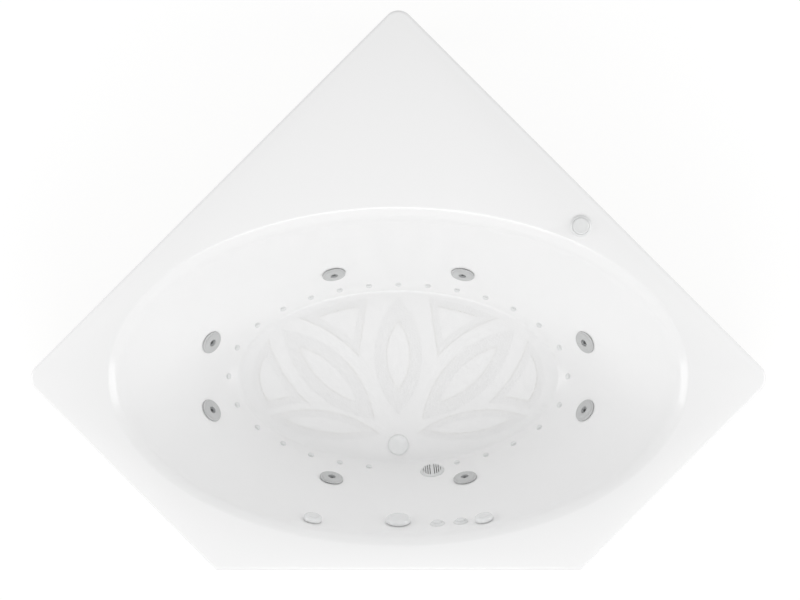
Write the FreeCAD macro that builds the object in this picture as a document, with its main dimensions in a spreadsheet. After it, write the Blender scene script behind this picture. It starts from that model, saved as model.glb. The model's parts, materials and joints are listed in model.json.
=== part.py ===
import FreeCAD, Part, Sketcher
import math
import operator
import os
from FreeCAD import Placement, Rotation, Vector

# A corner bathtub with an oval basin, eight turning water jets, a ring of small air injectors,
# a lift-and-turn waste, a pump, a blower, a base frame and three apron panels.
# Millimetres. +Z up, +Y towards the wall corner. The origin is the middle of the box on the floor.

DOC = FreeCAD.newDocument("CornerBath")
SHEET = DOC.addObject("Spreadsheet::Sheet", "Sizes")
ROOT2 = math.sqrt(2.0)

DIMENSIONS = {
    # deck and shell
    "WallSide": 1524, "FrontWidth": 1050, "CornerRound": 45, "TubHeight": 584, "ShellWall": 7,
    "LipDepth": 45, "LipWall": 8, "DeckEdgeRound": 8,
    # basin: half-axes of its oval at the rim, at the foot of the wall and round the flat floor
    "BasinShift": -250, "RimLong": 841, "RimShort": 491, "RollWidth": 34, "RollDrop": 28,
    "FootLong": 470, "FootShort": 253, "FloorLong": 430, "FloorShort": 238,
    "FloorLevel": 114, "FootRise": 8, "WallBulge": 0.8, "ReliefDepth": 1.0, "ReliefBand": 36, "NarrowBand": 21,
    "FieldEdge": 7,
    # seats of the wall fittings
    "SeatCut": 0.5, "WallGrip": 8.2, "FitGap": 0.3,
    # water jets
    "JetLevel": 220, "JetBackReach": 187, "JetSideReach": 100, "JetFrontReach": 194,
    "JetRingRadius": 34, "JetRingRise": 8.6, "JetFlangeRadius": 31, "FlangeThick": 3,
    "GasketThick": 1.5, "JetBarrel": 21, "BallRadius": 12, "PivotRadius": 2, "NozzleBore": 5, "NutThick": 8,
    "WaterTeeBack": 54, "AirTeeBack": 84, "WaterPipe": 13, "AirPipe": 7, "PipeWall": 2,
    "TeeHalf": 34, "TeeWall": 4,
    # air injectors
    "InjectorLevel": 137, "InjectorRingLong": 487, "InjectorRingShort": 271, "InjectorHead": 8.5,
    "InjectorStem": 4, "InjectorLength": 31, "RingHose": 11,
    # waste, overflow and suction
    "DrainReach": 199, "DrainFlange": 30, "StopperRadius": 28, "WastePipe": 19,
    "WasteLevel": 70, "OverflowLevel": 461, "OverflowKnob": 35.5, "OverflowDepth": 20,
    "WasteDrop": 12, "WasteSpigot": 20, "SpigotLength": 21, "SuctionLevel": 156, "SuctionReach": 98.5, "SuctionCover": 34.5,
    "SuctionPipe": 24, "SuctionBack": 58,
    # controls
    "DialLevel": 503, "DialReach": 248, "DialRadius": 26.5, "DialDepth": 16,
    "ButtonNearReach": 113, "ButtonNearLevel": 482, "ButtonFarReach": 180.6, "ButtonFarLevel": 487,
    "ButtonBase": 21, "ButtonCap": 12, "ButtonTravel": 3,
    "DeckButtonAcross": 526, "DeckButtonBack": 184.6, "DeckButtonBase": 31.5, "DeckButtonCap": 24,
    # base frame and apron
    "BoardLong": 600, "BoardShort": 290, "BoardThick": 15, "RailWidth": 40, "RailHeight": 20,
    "RailWall": 2, "RailLength": 1160, "RailSpread": 110, "FootPad": 22,
    "FootPadThick": 8, "FootRod": 6, "PostWidth": 40, "PostInset": 34, "PanelThick": 5,
    "PanelClear": 10, "PanelInset": 6, "BattenDepth": 38, "BattenThick": 20,
    "ScrewHead": 6, "ScrewShank": 2.4,
    # pump, blower and controls behind the apron
    "PumpReach": 740, "VoluteRadius": 78, "VoluteThick": 56, "MotorRadius": 60,
    "MotorLength": 190, "ImpellerRadius": 55, "ShaftRadius": 7, "BlowerReach": 770,
    "BlowerRadius": 92, "BlowerHeight": 96, "FanRadius": 70,
    "BoxWidth": 190, "BoxHeight": 160, "BoxDepth": 80, "BoxLevel": 300, "GlandBore": 5,
}


class Size:
    """A length that holds both its number and the sheet formula it comes from."""

    def __init__(self, value, text):
        self.value = float(value)
        self.text = text

    def __add__(self, other):
        return joined(self, "+", other)

    def __sub__(self, other):
        return joined(self, "-", other)

    def __mul__(self, other):
        return joined(self, "*", other)

    def __truediv__(self, other):
        return joined(self, "/", other)

    def __rsub__(self, other):
        return joined(other, "-", self)

    def __neg__(self):
        return joined(0, "-", self)

    __radd__ = __add__
    __rmul__ = __mul__


OPERATORS = {"+": operator.add, "-": operator.sub, "*": operator.mul, "/": operator.truediv}


def as_size(number):
    return number if isinstance(number, Size) else Size(number, "(" + repr(float(number)) + ")")


def joined(first, sign, second):
    first, second = as_size(first), as_size(second)
    value = OPERATORS[sign](first.value, second.value)
    return Size(value, "(" + first.text + " " + sign + " " + second.text + ")")


class Sizes:
    """The sheet's cells as attributes, so that a formula reads like one."""


D = Sizes()
for row, (alias, number) in enumerate(DIMENSIONS.items(), start=1):
    SHEET.set("A" + str(row), alias)
    SHEET.set("B" + str(row), str(number))
    SHEET.setAlias("B" + str(row), alias)
    setattr(D, alias, Size(number, "Sizes." + alias))
DOC.recompute()

NODES = {}


def bind(item, name, size):
    """Sets a property to a size and ties it to the sheet."""
    item.setExpression(name, as_size(size).text)


def move(item, x=0, y=0, z=0):
    """Places an object by three sizes."""
    for axis, size in (("x", x), ("y", y), ("z", z)):
        bind(item, "Placement.Base." + axis, size)


def node(item, name):
    """Names an object as a sub-part that is written out."""
    item.Label = name
    NODES[name] = item
    return item


def gather(name, *members):
    """Writes several like sub-parts out under one name, each still a solid of its own."""
    together = DOC.addObject("Part::Compound", name)
    together.Links = [NODES.pop(member) for member in members]
    node(together, name)


# ---- helpers that make one solid each ----

def new_body(name, plane):
    body = DOC.addObject("PartDesign::Body", name)
    sketch = body.newObject("Sketcher::SketchObject", name + "Sketch")
    origin = [item for item in body.Origin.OriginFeatures if item.Role == plane]
    sketch.AttachmentSupport = [(origin[0], "")]
    sketch.MapMode = "FlatFace"
    return body, sketch


def draw_outline(sketch, points):
    """A closed run of straight lines through points, each tied to the sheet."""
    places = [Vector(as_size(u).value, as_size(v).value, 0) for u, v in points]
    count = len(points)
    for i in range(count):
        sketch.addGeometry(Part.LineSegment(places[i], places[(i + 1) % count]), False)
    for i in range(count):
        sketch.addConstraint(Sketcher.Constraint("Coincident", i, 2, (i + 1) % count, 1))
    for i, (u, v) in enumerate(points):
        for kind, size in (("DistanceX", as_size(u)), ("DistanceY", as_size(v))):
            held = Sketcher.Constraint(kind, -1, 1, i, 1, size.value)
            bind(sketch, "Constraints[" + str(sketch.addConstraint(held)) + "]", size)


def lathe(name, profile):
    """A turned piece: the profile's points are (radius, height) about Z."""
    body, sketch = new_body(name, "XZ_Plane")
    draw_outline(sketch, profile)
    turn = body.newObject("PartDesign::Revolution", name + "Turn")
    turn.Profile = sketch
    turn.ReferenceAxis = (sketch, ["V_Axis"])
    turn.Angle = 360
    return body


def slab(name, points, low, thick):
    """A flat plate: an outline on the XY plane, raised to a level and padded up."""
    body, sketch = new_body(name, "XY_Plane")
    draw_outline(sketch, points)
    bind(sketch, "AttachmentOffset.Base.z", low)
    pad = body.newObject("PartDesign::Pad", name + "Pad")
    pad.Profile = sketch
    bind(pad, "Length", thick)
    return body


def round_edges(body, radius, chosen):
    """Rounds the edges of a body that the chosen test picks."""
    DOC.recompute()
    base = body.Tip
    names = ["Edge" + str(i + 1) for i, edge in enumerate(base.Shape.Edges) if chosen(edge)]
    fillet = body.newObject("PartDesign::Fillet", body.Name + "Round" + str(len(body.Group)))
    fillet.Base = (base, names)
    bind(fillet, "Radius", radius)
    return body


def ring_at(radius, height):
    """Picks the circular edges of a turned piece near a radius and a height."""
    def test(edge):
        box = edge.BoundBox
        flat = box.ZLength < 0.01 and abs(box.ZMin - as_size(height).value) < 0.05
        return flat and abs(box.XMax - as_size(radius).value) < 0.05
    return test


def box(name, corner, extent):
    item = DOC.addObject("Part::Box", name)
    for side, size in zip(("Length", "Width", "Height"), extent):
        bind(item, side, size)
    move(item, *corner)
    return item


def rod(name, radius, low, high, x=0, y=0):
    """An upright cylinder between two levels."""
    item = DOC.addObject("Part::Cylinder", name)
    bind(item, "Radius", radius)
    bind(item, "Height", as_size(high) - low)
    move(item, x, y, low)
    return item


def cross_rod(name, radius, half, height):
    """A cylinder along X, centred on the Z axis at a height."""
    item = DOC.addObject("Part::Cylinder", name)
    item.Placement = Placement(Vector(), Rotation(Vector(0, 1, 0), 90))
    bind(item, "Radius", radius)
    bind(item, "Height", as_size(half) * 2)
    move(item, -as_size(half), 0, height)
    return item


def fuse(name, pieces):
    item = DOC.addObject("Part::MultiFuse", name)
    item.Shapes = pieces
    return item


def cut(name, base, tool):
    item = DOC.addObject("Part::Cut", name)
    item.Base = base
    item.Tool = tool
    return item


def group(name, pieces):
    """Separate solids kept side by side under one name."""
    item = DOC.addObject("Part::Compound", name)
    item.Links = pieces
    return item


def placed(name, master, place):
    """A copy of a master piece at its own place."""
    item = group(name, [master])
    item.Placement = place
    return item


# ---- the moulded shell ----

def deck_points(inset):
    """The deck's five corners, drawn in by an inset. Both walls run at 45 degrees."""
    half = D.WallSide / ROOT2
    apex = deck_apex() - inset * ROOT2
    side = deck_apex() - half
    front = deck_front() + inset
    step = D.FrontWidth / 2 - inset * (ROOT2 - 1)
    return [(0, apex), (inset * ROOT2 - half, side), (-step, front), (step, front),
            (half - inset * ROOT2, side)]


def deck_apex():
    """The sharp wall corner, placed so that the rounded outline is centred on the origin."""
    depth = D.WallSide / ROOT2 + D.WallSide / ROOT2 - D.FrontWidth / 2
    return depth / 2 + D.CornerRound * ((ROOT2 - 1) / 2)


def deck_front():
    return deck_apex() - D.WallSide / ROOT2 - D.WallSide / ROOT2 + D.FrontWidth / 2


def deck_block(name, inset, low, high):
    """A block with the deck's outline and its three rounded wall corners."""
    block = slab(name, deck_points(inset), low, high - low)

    def wall_corner(edge):
        upright = edge.BoundBox.ZLength > 1
        return upright and edge.BoundBox.YMin > deck_front().value + 100
    return round_edges(block, D.CornerRound - inset, wall_corner)


def wall_share(height_share):
    """How far out the wall has come at a share of its height."""
    return height_share ** D.WallBulge.value


def oval(name, long, short, level):
    item = DOC.addObject("Part::Ellipse", name)
    bind(item, "MajorRadius", long)
    bind(item, "MinorRadius", short)
    move(item, 0, D.BasinShift, level)
    return item


def oval_loft(name, sections):
    ovals = [oval(name + "Oval" + str(i), *section) for i, section in enumerate(sections)]
    item = DOC.addObject("Part::Loft", name)
    item.Sections = ovals
    item.Solid = True
    item.MaxDegree = 3
    return item


def basin_sections(outward):
    """Three stretches of ovals: the floor's curve, the wall, and the rolled rim."""
    foot = D.FloorLevel + D.FootRise
    crease = D.TubHeight - D.RollDrop
    crease_long = D.RimLong - D.RollWidth
    crease_short = D.RimShort - D.RollWidth
    curve, wall, roll = [], [], []
    for turn in (0, 30, 60, 90):
        reach, rise = math.sin(math.radians(turn)), 1 - math.cos(math.radians(turn))
        curve.append((D.FloorLong + (D.FootLong - D.FloorLong) * reach,
                      D.FloorShort + (D.FootShort - D.FloorShort) * reach,
                      D.FloorLevel + D.FootRise * rise))
    for share in (0, 0.06, 0.16, 0.3, 0.5, 0.75, 1):
        reach = wall_share(share)
        wall.append((D.FootLong + (crease_long - D.FootLong) * reach,
                     D.FootShort + (crease_short - D.FootShort) * reach,
                     foot + (crease - foot) * share))
    for reach, rise in ((0, 0), (0.3, 0.37), (0.62, 0.71), (0.86, 0.92), (1, 1)):
        roll.append((crease_long + D.RollWidth * reach, crease_short + D.RollWidth * reach,
                     crease + D.RollDrop * rise))
    return [[(long + outward, short + outward, level - outward)
             for long, short, level in stretch] for stretch in (curve, wall, roll)]


def basin_solid(name, outward):
    lofts = [oval_loft(name + part, sections) for part, sections in
             zip(("Curve", "Wall", "Roll"), basin_sections(outward))]
    return fuse(name, lofts)


def moulding():
    """The deck with its turned-down lip and the basin's outer skin, before anything is hollowed."""
    block = deck_block("DeckBlock", as_size(0), D.TubHeight - D.LipDepth, D.TubHeight)

    def top_edge(edge):
        return edge.BoundBox.ZMin > D.TubHeight.value - 0.01
    round_edges(block, D.DeckEdgeRound, top_edge)
    hollow = deck_block("DeckHollow", D.LipWall, D.TubHeight - D.LipDepth - 1,
                        D.TubHeight - D.ShellWall)
    deck = cut("Deck", block, hollow)
    return fuse("Moulding", [deck, basin_solid("BasinOutside", D.ShellWall)])


CAVITY = basin_solid("BasinInside", as_size(0))
HOLLOWED = cut("HollowShell", moulding(), CAVITY)
DOC.recompute()


# ---- places on the basin's wall ----

def ray_place(start, direction):
    """Where a level ray from inside the basin meets its wall, with Z pointing back into the bath."""
    far = start + direction * (D.RimLong.value * 2)
    inside = Part.makeLine(start, far).common(CAVITY.Shape)
    hit = max((vertex.Point for vertex in inside.Vertexes), key=lambda p: (p - start).dot(direction))
    wall = [face for face in CAVITY.Shape.Faces if not isinstance(face.Surface, Part.Plane)]
    face = min(wall, key=lambda item: item.distToShape(Part.Vertex(hit))[0])
    u, v = face.Surface.parameter(hit)
    normal = face.normalAt(u, v)
    if normal.dot(direction) > 0:
        normal = normal * -1
    level = Vector(0, 0, 1).cross(normal).normalize()
    return Placement(hit, Rotation(level, normal.cross(level), normal, "ZXY"))


def place_at_x(x, level, side):
    """A place on the back (side 1) or front (side -1) wall at a distance across."""
    return ray_place(Vector(x, D.BasinShift.value, level.value), Vector(0, side, 0))


def place_at_y(y, level, side):
    """A place on the right (side 1) or left (side -1) wall at a distance back."""
    return ray_place(Vector(0, D.BasinShift.value + y, level.value), Vector(side, 0, 0))


def jet_places():
    """The eight jets, clockwise from the right back one."""
    back, side, front = D.JetBackReach.value, D.JetSideReach.value, D.JetFrontReach.value
    level = D.JetLevel
    return [place_at_x(back, level, 1), place_at_y(side, level, 1), place_at_y(-side, level, 1),
            place_at_x(front, level, -1), place_at_x(-front, level, -1),
            place_at_y(-side, level, -1), place_at_y(side, level, -1), place_at_x(-back, level, 1)]


INJECTOR_STATIONS = 28
STATIONS_LEFT_OUT = (13, 14)


def injector_places():
    """Evenly spaced stations round an oval, less the two where the waste and the suction are."""
    long, short = D.InjectorRingLong.value, D.InjectorRingShort.value
    ring = Part.Ellipse(Vector(), long, short).toShape()
    quarter = ring.Length / 4
    places = []
    for station in range(INJECTOR_STATIONS):
        if station in STATIONS_LEFT_OUT:
            continue
        along = (quarter - ring.Length * station / INJECTOR_STATIONS) % ring.Length
        point = ring.valueAt(ring.getParameterByLength(along))
        start = Vector(0, D.BasinShift.value, D.InjectorLevel.value)
        places.append(ray_place(start, point.normalize()))
    return places


JETS = jet_places()
INJECTORS = injector_places()
SUCTION = place_at_x(D.SuctionReach.value, D.SuctionLevel, -1)
OVERFLOW = place_at_x(0, D.OverflowLevel, -1)
DIALS = {"left": place_at_x(-D.DialReach.value, D.DialLevel, -1),
         "right": place_at_x(D.DialReach.value, D.DialLevel, -1)}
BUTTONS = {"near": place_at_x(D.ButtonNearReach.value, D.ButtonNearLevel, -1),
           "far": place_at_x(D.ButtonFarReach.value, D.ButtonFarLevel, -1)}
print("jet levels", [round(p.Base.z, 1) for p in JETS], "injectors", len(INJECTORS))


# ---- the petal relief in the floor ----

def leaf(name, x, y, angle, length, width, inset):
    """A pointed leaf: where two round discs overlap. Its tips lie on its length."""
    half, waist = length / 2 - inset * 2, width / 2 - inset
    radius = (half * half + waist * waist) / (waist * 2)
    discs = []
    for side in (-1, 1):
        disc = rod(name + "Disc" + str(side + 1), radius, 0, D.ReliefDepth * 2)
        move(disc, 0, side * (radius - waist), 0)
        discs.append(disc)
    item = DOC.addObject("Part::MultiCommon", name)
    item.Shapes = discs
    turn = Rotation(Vector(0, 0, 1), angle)
    item.Placement = Placement(Vector(), turn)
    move(item, x, y + D.BasinShift, D.FloorLevel - D.ReliefDepth)
    return item


def petal_band(name, x, y, angle, length, width, band):
    """The sunken, slip-resistant band just inside a leaf's edge, round a smooth middle."""
    outer = leaf(name + "Edge", x, y, angle, as_size(length), as_size(width), as_size(0))
    inner = leaf(name + "Middle", x, y, angle, as_size(length), as_size(width), band)
    return cut(name, outer, inner)


LEAVES = {
    # name: middle across, middle back, angle, length, width and band, from the basin's middle
    "LeafMiddle": (0, 60, 90, 340, 138, D.ReliefBand),
    "LeafLeft": (-204, 6, 136, 372, 128, D.ReliefBand),
    "LeafRight": (204, 6, 44, 372, 128, D.ReliefBand),
    "LeafLowLeft": (-214, -141, 171, 320, 82, D.NarrowBand),
    "LeafLowRight": (214, -141, 9, 320, 82, D.NarrowBand),
}
FIELDS = {
    # name: the field's middle and reach, the gaps to its leaves, and the tilt of a straight side
    "FieldBack": ((-185, 160, 128), {"LeafLeft": 36}, 8.5),
    "FieldSide": ((-350, 0, 115), {"LeafLeft": 36, "LeafLowLeft": 20}, None),
}
FIELD_SIDE = (-101, 152)


def field(name, reach, gaps, tilt, inset):
    """A three-cornered field between the leaves, the floor's edge and perhaps a straight side."""
    x, y, radius = reach
    low, high = D.FloorLevel - D.ReliefDepth, D.FloorLevel + D.ReliefDepth
    edge = D.FieldEdge + inset
    shapes = [rod(name + "Disc", as_size(radius), low, high, as_size(x), D.BasinShift + y),
              oval_loft(name + "Edge", [(D.FloorLong - edge, D.FloorShort - edge, low),
                                        (D.FloorLong - edge, D.FloorShort - edge, high)])]
    if tilt is not None:
        side = box(name + "Side", (-radius * 3, -radius * 2, 0),
                   (as_size(radius * 3) - inset, as_size(radius * 4), D.ReliefDepth * 2))
        place = Placement(Vector(FIELD_SIDE[0], D.BasinShift.value + FIELD_SIDE[1], low.value),
                          Rotation(Vector(0, 0, 1), -tilt))
        shapes.append(placed(name + "SideTurned", side, place))
    area = DOC.addObject("Part::MultiCommon", name + "Area")
    area.Shapes = shapes
    around = []
    for leaf_name, gap in gaps.items():
        leaf_x, leaf_y, angle, length, width, band = LEAVES[leaf_name]
        around.append(leaf(name + leaf_name, as_size(leaf_x), as_size(leaf_y), angle,
                           as_size(length), as_size(width), -(as_size(gap) + inset)))
    return cut(name, area, fuse(name + "Leaves", around) if len(around) > 1 else around[0])


def field_bands(name, reach, gaps, tilt):
    """The sunken band round a field, and its mirror image on the other side of the bath."""
    band = cut(name + "Band", field(name + "Outer", reach, gaps, tilt, as_size(0)),
               field(name + "Inner", reach, gaps, tilt, D.NarrowBand))
    other = DOC.addObject("Part::Mirroring", name + "BandMirrored")
    other.Source = band
    other.Normal = Vector(1, 0, 0)
    return [band, other]


# ---- hoses and pipes ----

def rounded_route(points, bend):
    """Straight runs through points, joined by tangent arcs."""
    edges, start = [], points[0]
    for before, corner, after in zip(points, points[1:], points[2:]):
        back, ahead = (before - corner).normalize(), (after - corner).normalize()
        half = back.getAngle(ahead) / 2
        tangent = min(bend / math.tan(half), 0.45 * min(before.distanceToPoint(corner),
                                                        after.distanceToPoint(corner)))
        radius = tangent * math.tan(half)
        first, last = corner + back * tangent, corner + ahead * tangent
        middle = corner + (back + ahead).normalize() * (radius / math.sin(half) - radius)
        edges += [Part.makeLine(start, first), Part.Arc(first, middle, last).toShape()]
        start = last
    edges.append(Part.makeLine(start, points[-1]))
    return Part.Wire(edges)


def swept(name, route, radius, heading):
    """A round bar along a route that sets out on a heading."""
    ring = DOC.addObject("Part::Circle", name + "Ring")
    ring.Placement = Placement(route.Shape.Edges[0].valueAt(route.Shape.Edges[0].FirstParameter),
                               Rotation(Vector(0, 0, 1), heading))
    bind(ring, "Radius", radius)
    bar = DOC.addObject("Part::Sweep", name)
    bar.Sections = [ring]
    bar.Spine = (route, ["Edge" + str(i + 1) for i in range(len(route.Shape.Edges))])
    bar.Solid = True
    return bar


def hose(name, points, radius, bend, wall=D.PipeWall):
    """A hollow tube along straight runs and tangent arcs."""
    route = DOC.addObject("Part::Feature", name + "Route")
    route.Shape = rounded_route(points, bend)
    heading = points[1] - points[0]
    outside = swept(name + "Outside", route, radius, heading)
    bore = swept(name + "Bore", route, as_size(radius) - wall, heading)
    return cut(name, outside, bore)


def at(place, x, y, w):
    """A point in a fitting's own frame, as a point of the bath."""
    return place.multVec(Vector(as_size(x).value, as_size(y).value, as_size(w).value))


def heading_of(place, x, y, w):
    return place.Rotation.multVec(Vector(x, y, w))


def nut(name, across, bore, top, thick):
    """A six-sided nut below a level."""
    body = DOC.addObject("Part::Prism", name + "Blank")
    body.Polygon = 6
    bind(body, "Circumradius", across)
    bind(body, "Height", thick)
    move(body, 0, 0, as_size(top) - thick)
    return cut(name, body, rod(name + "Bore", bore, as_size(top) - thick - 1, as_size(top) + 1))


def washer(name, outer, inner, low, thick):
    return cut(name, rod(name + "Disc", outer, low, low + thick),
               rod(name + "Bore", inner, low - 1, low + thick + 1))


def repeat(name, master, places):
    """One node that holds a copy of a master at each place."""
    return node(group(name, [placed(name + str(i + 1), master, place)
                             for i, place in enumerate(places)]), name)


SEAT = -D.SeatCut
SHELL_CUTTERS = {"deck": []}


def wall_hole(name, places, head, bore, nut_reach):
    """Cuts a flat seat for the head, a bore, and a flat for the nut at the back."""
    reach = as_size(60)
    front = rod(name + "Front", head + D.FitGap, SEAT, reach / 2)
    through = rod(name + "Through", bore, -reach / 2, reach / 4)
    back = rod(name + "Back", nut_reach, -D.WallGrip - reach / 3, -D.WallGrip)
    master = fuse(name + "Cutter", [front, through, back])
    SHELL_CUTTERS[name] = [placed(name + "Cut" + str(i + 1), master, place)
                           for i, place in enumerate(places)]


# ---- water jets ----

FLANGE_LOW = SEAT + D.GasketThick
FLANGE_TOP = FLANGE_LOW + D.FlangeThick
BALL_SINK = -1
BALL_SEAT = D.BallRadius + D.FitGap
PIVOT_REACH = D.BallRadius + 3
HUB = BALL_SEAT + 4.6
SOCKET = HUB + D.FitGap
HUB_LOW = -(D.BallRadius * 0.75) - D.FitGap + BALL_SINK - 2


def jet_body():
    back = -D.AirTeeBack - D.AirPipe - D.TeeWall - 2
    shape = lathe("JetShell", [
        (SOCKET, FLANGE_TOP), (D.JetFlangeRadius, FLANGE_TOP), (D.JetFlangeRadius, FLANGE_LOW),
        (D.JetBarrel, FLANGE_LOW), (D.JetBarrel, -D.WallGrip - D.NutThick - 3),
        (D.JetBarrel - 2, -D.WallGrip - D.NutThick - 3), (D.JetBarrel - 2, back), (0, back),
        (0, back + D.TeeWall), (8, back + D.TeeWall), (8, HUB_LOW - 1), (SOCKET, HUB_LOW - 1)])
    water = cross_rod("JetWaterTee", D.WaterPipe + D.TeeWall, D.TeeHalf, -D.WaterTeeBack)
    air = cross_rod("JetAirTee", D.AirPipe + D.TeeWall, D.TeeHalf, -D.AirTeeBack)
    ways = fuse("JetWays", [
        cross_rod("JetWaterWay", D.WaterPipe + 0.1, D.TeeHalf + 1, -D.WaterTeeBack),
        cross_rod("JetAirWay", D.AirPipe + 0.1, D.TeeHalf + 1, -D.AirTeeBack)])
    return cut("JetBody", fuse("JetTees", [shape, water, air]), ways)


def jet_ring():
    edge, rise = D.JetRingRadius, D.JetRingRise
    mouth = BALL_SEAT - 1.9
    skirt = D.JetFlangeRadius + D.FitGap + 0.1
    ring = lathe("JetRingShape", [
        (skirt, FLANGE_LOW + D.FitGap), (edge, FLANGE_LOW + D.FitGap), (edge, FLANGE_TOP + 0.8),
        (edge - 1.2, FLANGE_TOP + 2), (edge - 4, rise - 1.4), (edge - 9, rise - 0.6),
        (mouth + 3.6, rise), (mouth, rise - 0.6), (mouth, rise - 3), (BALL_SEAT, rise - 3.6),
        (BALL_SEAT, HUB_LOW + 2), (D.BallRadius * 0.68, HUB_LOW + 2), (D.BallRadius * 0.68, HUB_LOW),
        (HUB, HUB_LOW), (HUB, FLANGE_TOP + D.FitGap), (skirt, FLANGE_TOP + D.FitGap)])
    return cut("JetRing", ring, cross_rod("JetPivotHoles", D.PivotRadius + 0.15, PIVOT_REACH + 0.3,
                                          BALL_SINK))


def jet_nozzle():
    ball = DOC.addObject("Part::Sphere", "Ball")
    ball.Angle1 = -55
    ball.Angle2 = 45
    bind(ball, "Radius", D.BallRadius)
    move(ball, 0, 0, BALL_SINK)
    flare = DOC.addObject("Part::Cone", "NozzleFlare")
    bind(flare, "Radius1", D.NozzleBore)
    bind(flare, "Radius2", D.NozzleBore + 2)
    bind(flare, "Height", 3)
    move(flare, 0, 0, D.BallRadius * math.sin(math.radians(45)) + BALL_SINK - 2.9)
    bore = rod("NozzleWay", D.NozzleBore, -D.BallRadius * 2, D.BallRadius * 2)
    pivots = cross_rod("JetPivots", D.PivotRadius, PIVOT_REACH, BALL_SINK)
    return cut("JetNozzle", fuse("JetBall", [ball, pivots]), fuse("NozzleWays", [bore, flare]))


# The round cutters are turned a quarter, so that their seams stay off the seat's edges.
QUARTER = Placement(Vector(), Rotation(Vector(0, 0, 1), 90))


def make_jets():
    wall_hole("JetHole", JETS, D.JetRingRadius, D.JetBarrel + D.FitGap, D.JetRingRadius + 2)
    for i, tool in enumerate(SHELL_CUTTERS.pop("JetHole"), start=1):
        tool.Placement = tool.Placement.multiply(QUARTER)
        SHELL_CUTTERS["JetHole" + str(i)] = [tool]
    repeat("jet_gaskets", washer("JetGasket", D.JetFlangeRadius - 1, D.JetBarrel + D.FitGap, SEAT,
                                 D.GasketThick), JETS)
    repeat("jet_locknuts", nut("JetNut", D.JetRingRadius, D.JetBarrel + D.FitGap, -D.WallGrip,
                               D.NutThick), JETS)
    repeat("jet_bodies", jet_body(), JETS)
    ring, nozzle = jet_ring(), jet_nozzle()
    for i, place in enumerate(JETS, start=1):
        node(placed("JetRingCopy" + str(i), ring, place), "jet_ring_" + str(i))
        node(placed("JetNozzleCopy" + str(i), nozzle, place), "jet_nozzle_" + str(i))


def link_route(first, second, back, lead_share):
    """A route from one tee's far end to the next tee's near end, leaving each in line with it."""
    start = at(first, D.TeeHalf - 16, 0, -back)
    end = at(second, -D.TeeHalf + 16, 0, -back)
    lead = start.distanceToPoint(end) * lead_share
    return [start, start + heading_of(first, 1, 0, 0) * lead,
            end - heading_of(second, 1, 0, 0) * lead, end]


def make_jet_hoses():
    """Water and air hoses from jet to jet, left open between the two front ones."""
    water, air = [], []
    order = JETS[4:] + JETS[:4]
    for i, (first, second) in enumerate(zip(order, order[1:]), start=1):
        if first is not JETS[5]:
            air.append(hose("AirHose" + str(i), link_route(first, second, D.AirTeeBack, 0.36),
                            D.AirPipe, 40))
            water.append(hose("WaterHose" + str(i), link_route(first, second, D.WaterTeeBack, 0.36),
                              D.WaterPipe, 60))
    start, turn_out, turn_in, end = link_route(JETS[5], JETS[6], D.WaterTeeBack, 0.22)
    socket = Vector(0, D.TeeHalf.value - 16, 0)
    water.append(hose("FeedHoseFront", [start, turn_out, FEED_TEE - socket], D.WaterPipe, 60))
    water.append(hose("FeedHoseBack", [FEED_TEE + socket, turn_in, end], D.WaterPipe, 60))
    node(group("jet_water_hoses", water), "jet_water_hoses")
    node(group("jet_air_hoses", air), "jet_air_hoses")


def tee(name, radius, half, branch, place):
    """A tee: a straight socket along X and a branch along -Z, both hollow."""
    run = cross_rod(name + "Run", radius + D.TeeWall, half, 0)
    arm = rod(name + "Arm", radius + D.TeeWall, -as_size(branch), 0)
    ways = fuse(name + "Ways", [cross_rod(name + "RunWay", radius + 0.1, as_size(half) + 1, 0),
                                rod(name + "ArmWay", radius + 0.1, -as_size(branch) - 1, 0)])
    item = cut(name, fuse(name + "Solid", [run, arm]), ways)
    item.Placement = place
    return item


FEED_TEE = sum(link_route(JETS[5], JETS[6], D.WaterTeeBack, 0.22)[1:3], Vector()) * 0.5
VOLUTE_OUTLET = D.VoluteRadius - D.WaterPipe - D.TeeWall
PUMP = Placement(Vector(-D.PumpReach.value, FEED_TEE.y, FEED_TEE.z - VOLUTE_OUTLET.value),
                 Rotation(Vector(1, 0, 0), Vector(0, 0, 1), Vector(0, -1, 0), "ZXY"))


# ---- air injectors and their ring hose ----

def injector():
    head, stem = D.InjectorHead, D.InjectorStem
    low, top = D.FitGap, D.FitGap + 2.9
    shape = lathe("InjectorShape", [
        (0, -D.InjectorLength), (stem, -D.InjectorLength), (stem, low), (head, low),
        (head, low + 0.8), (head - 1.2, low + 1.9), (head - 3.6, top), (0, top)])
    slot = box("InjectorSlot", (-head / 2, head - 4, low + 1), (head, as_size(2), as_size(4)))
    return cut("Injector", shape, slot)


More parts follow.
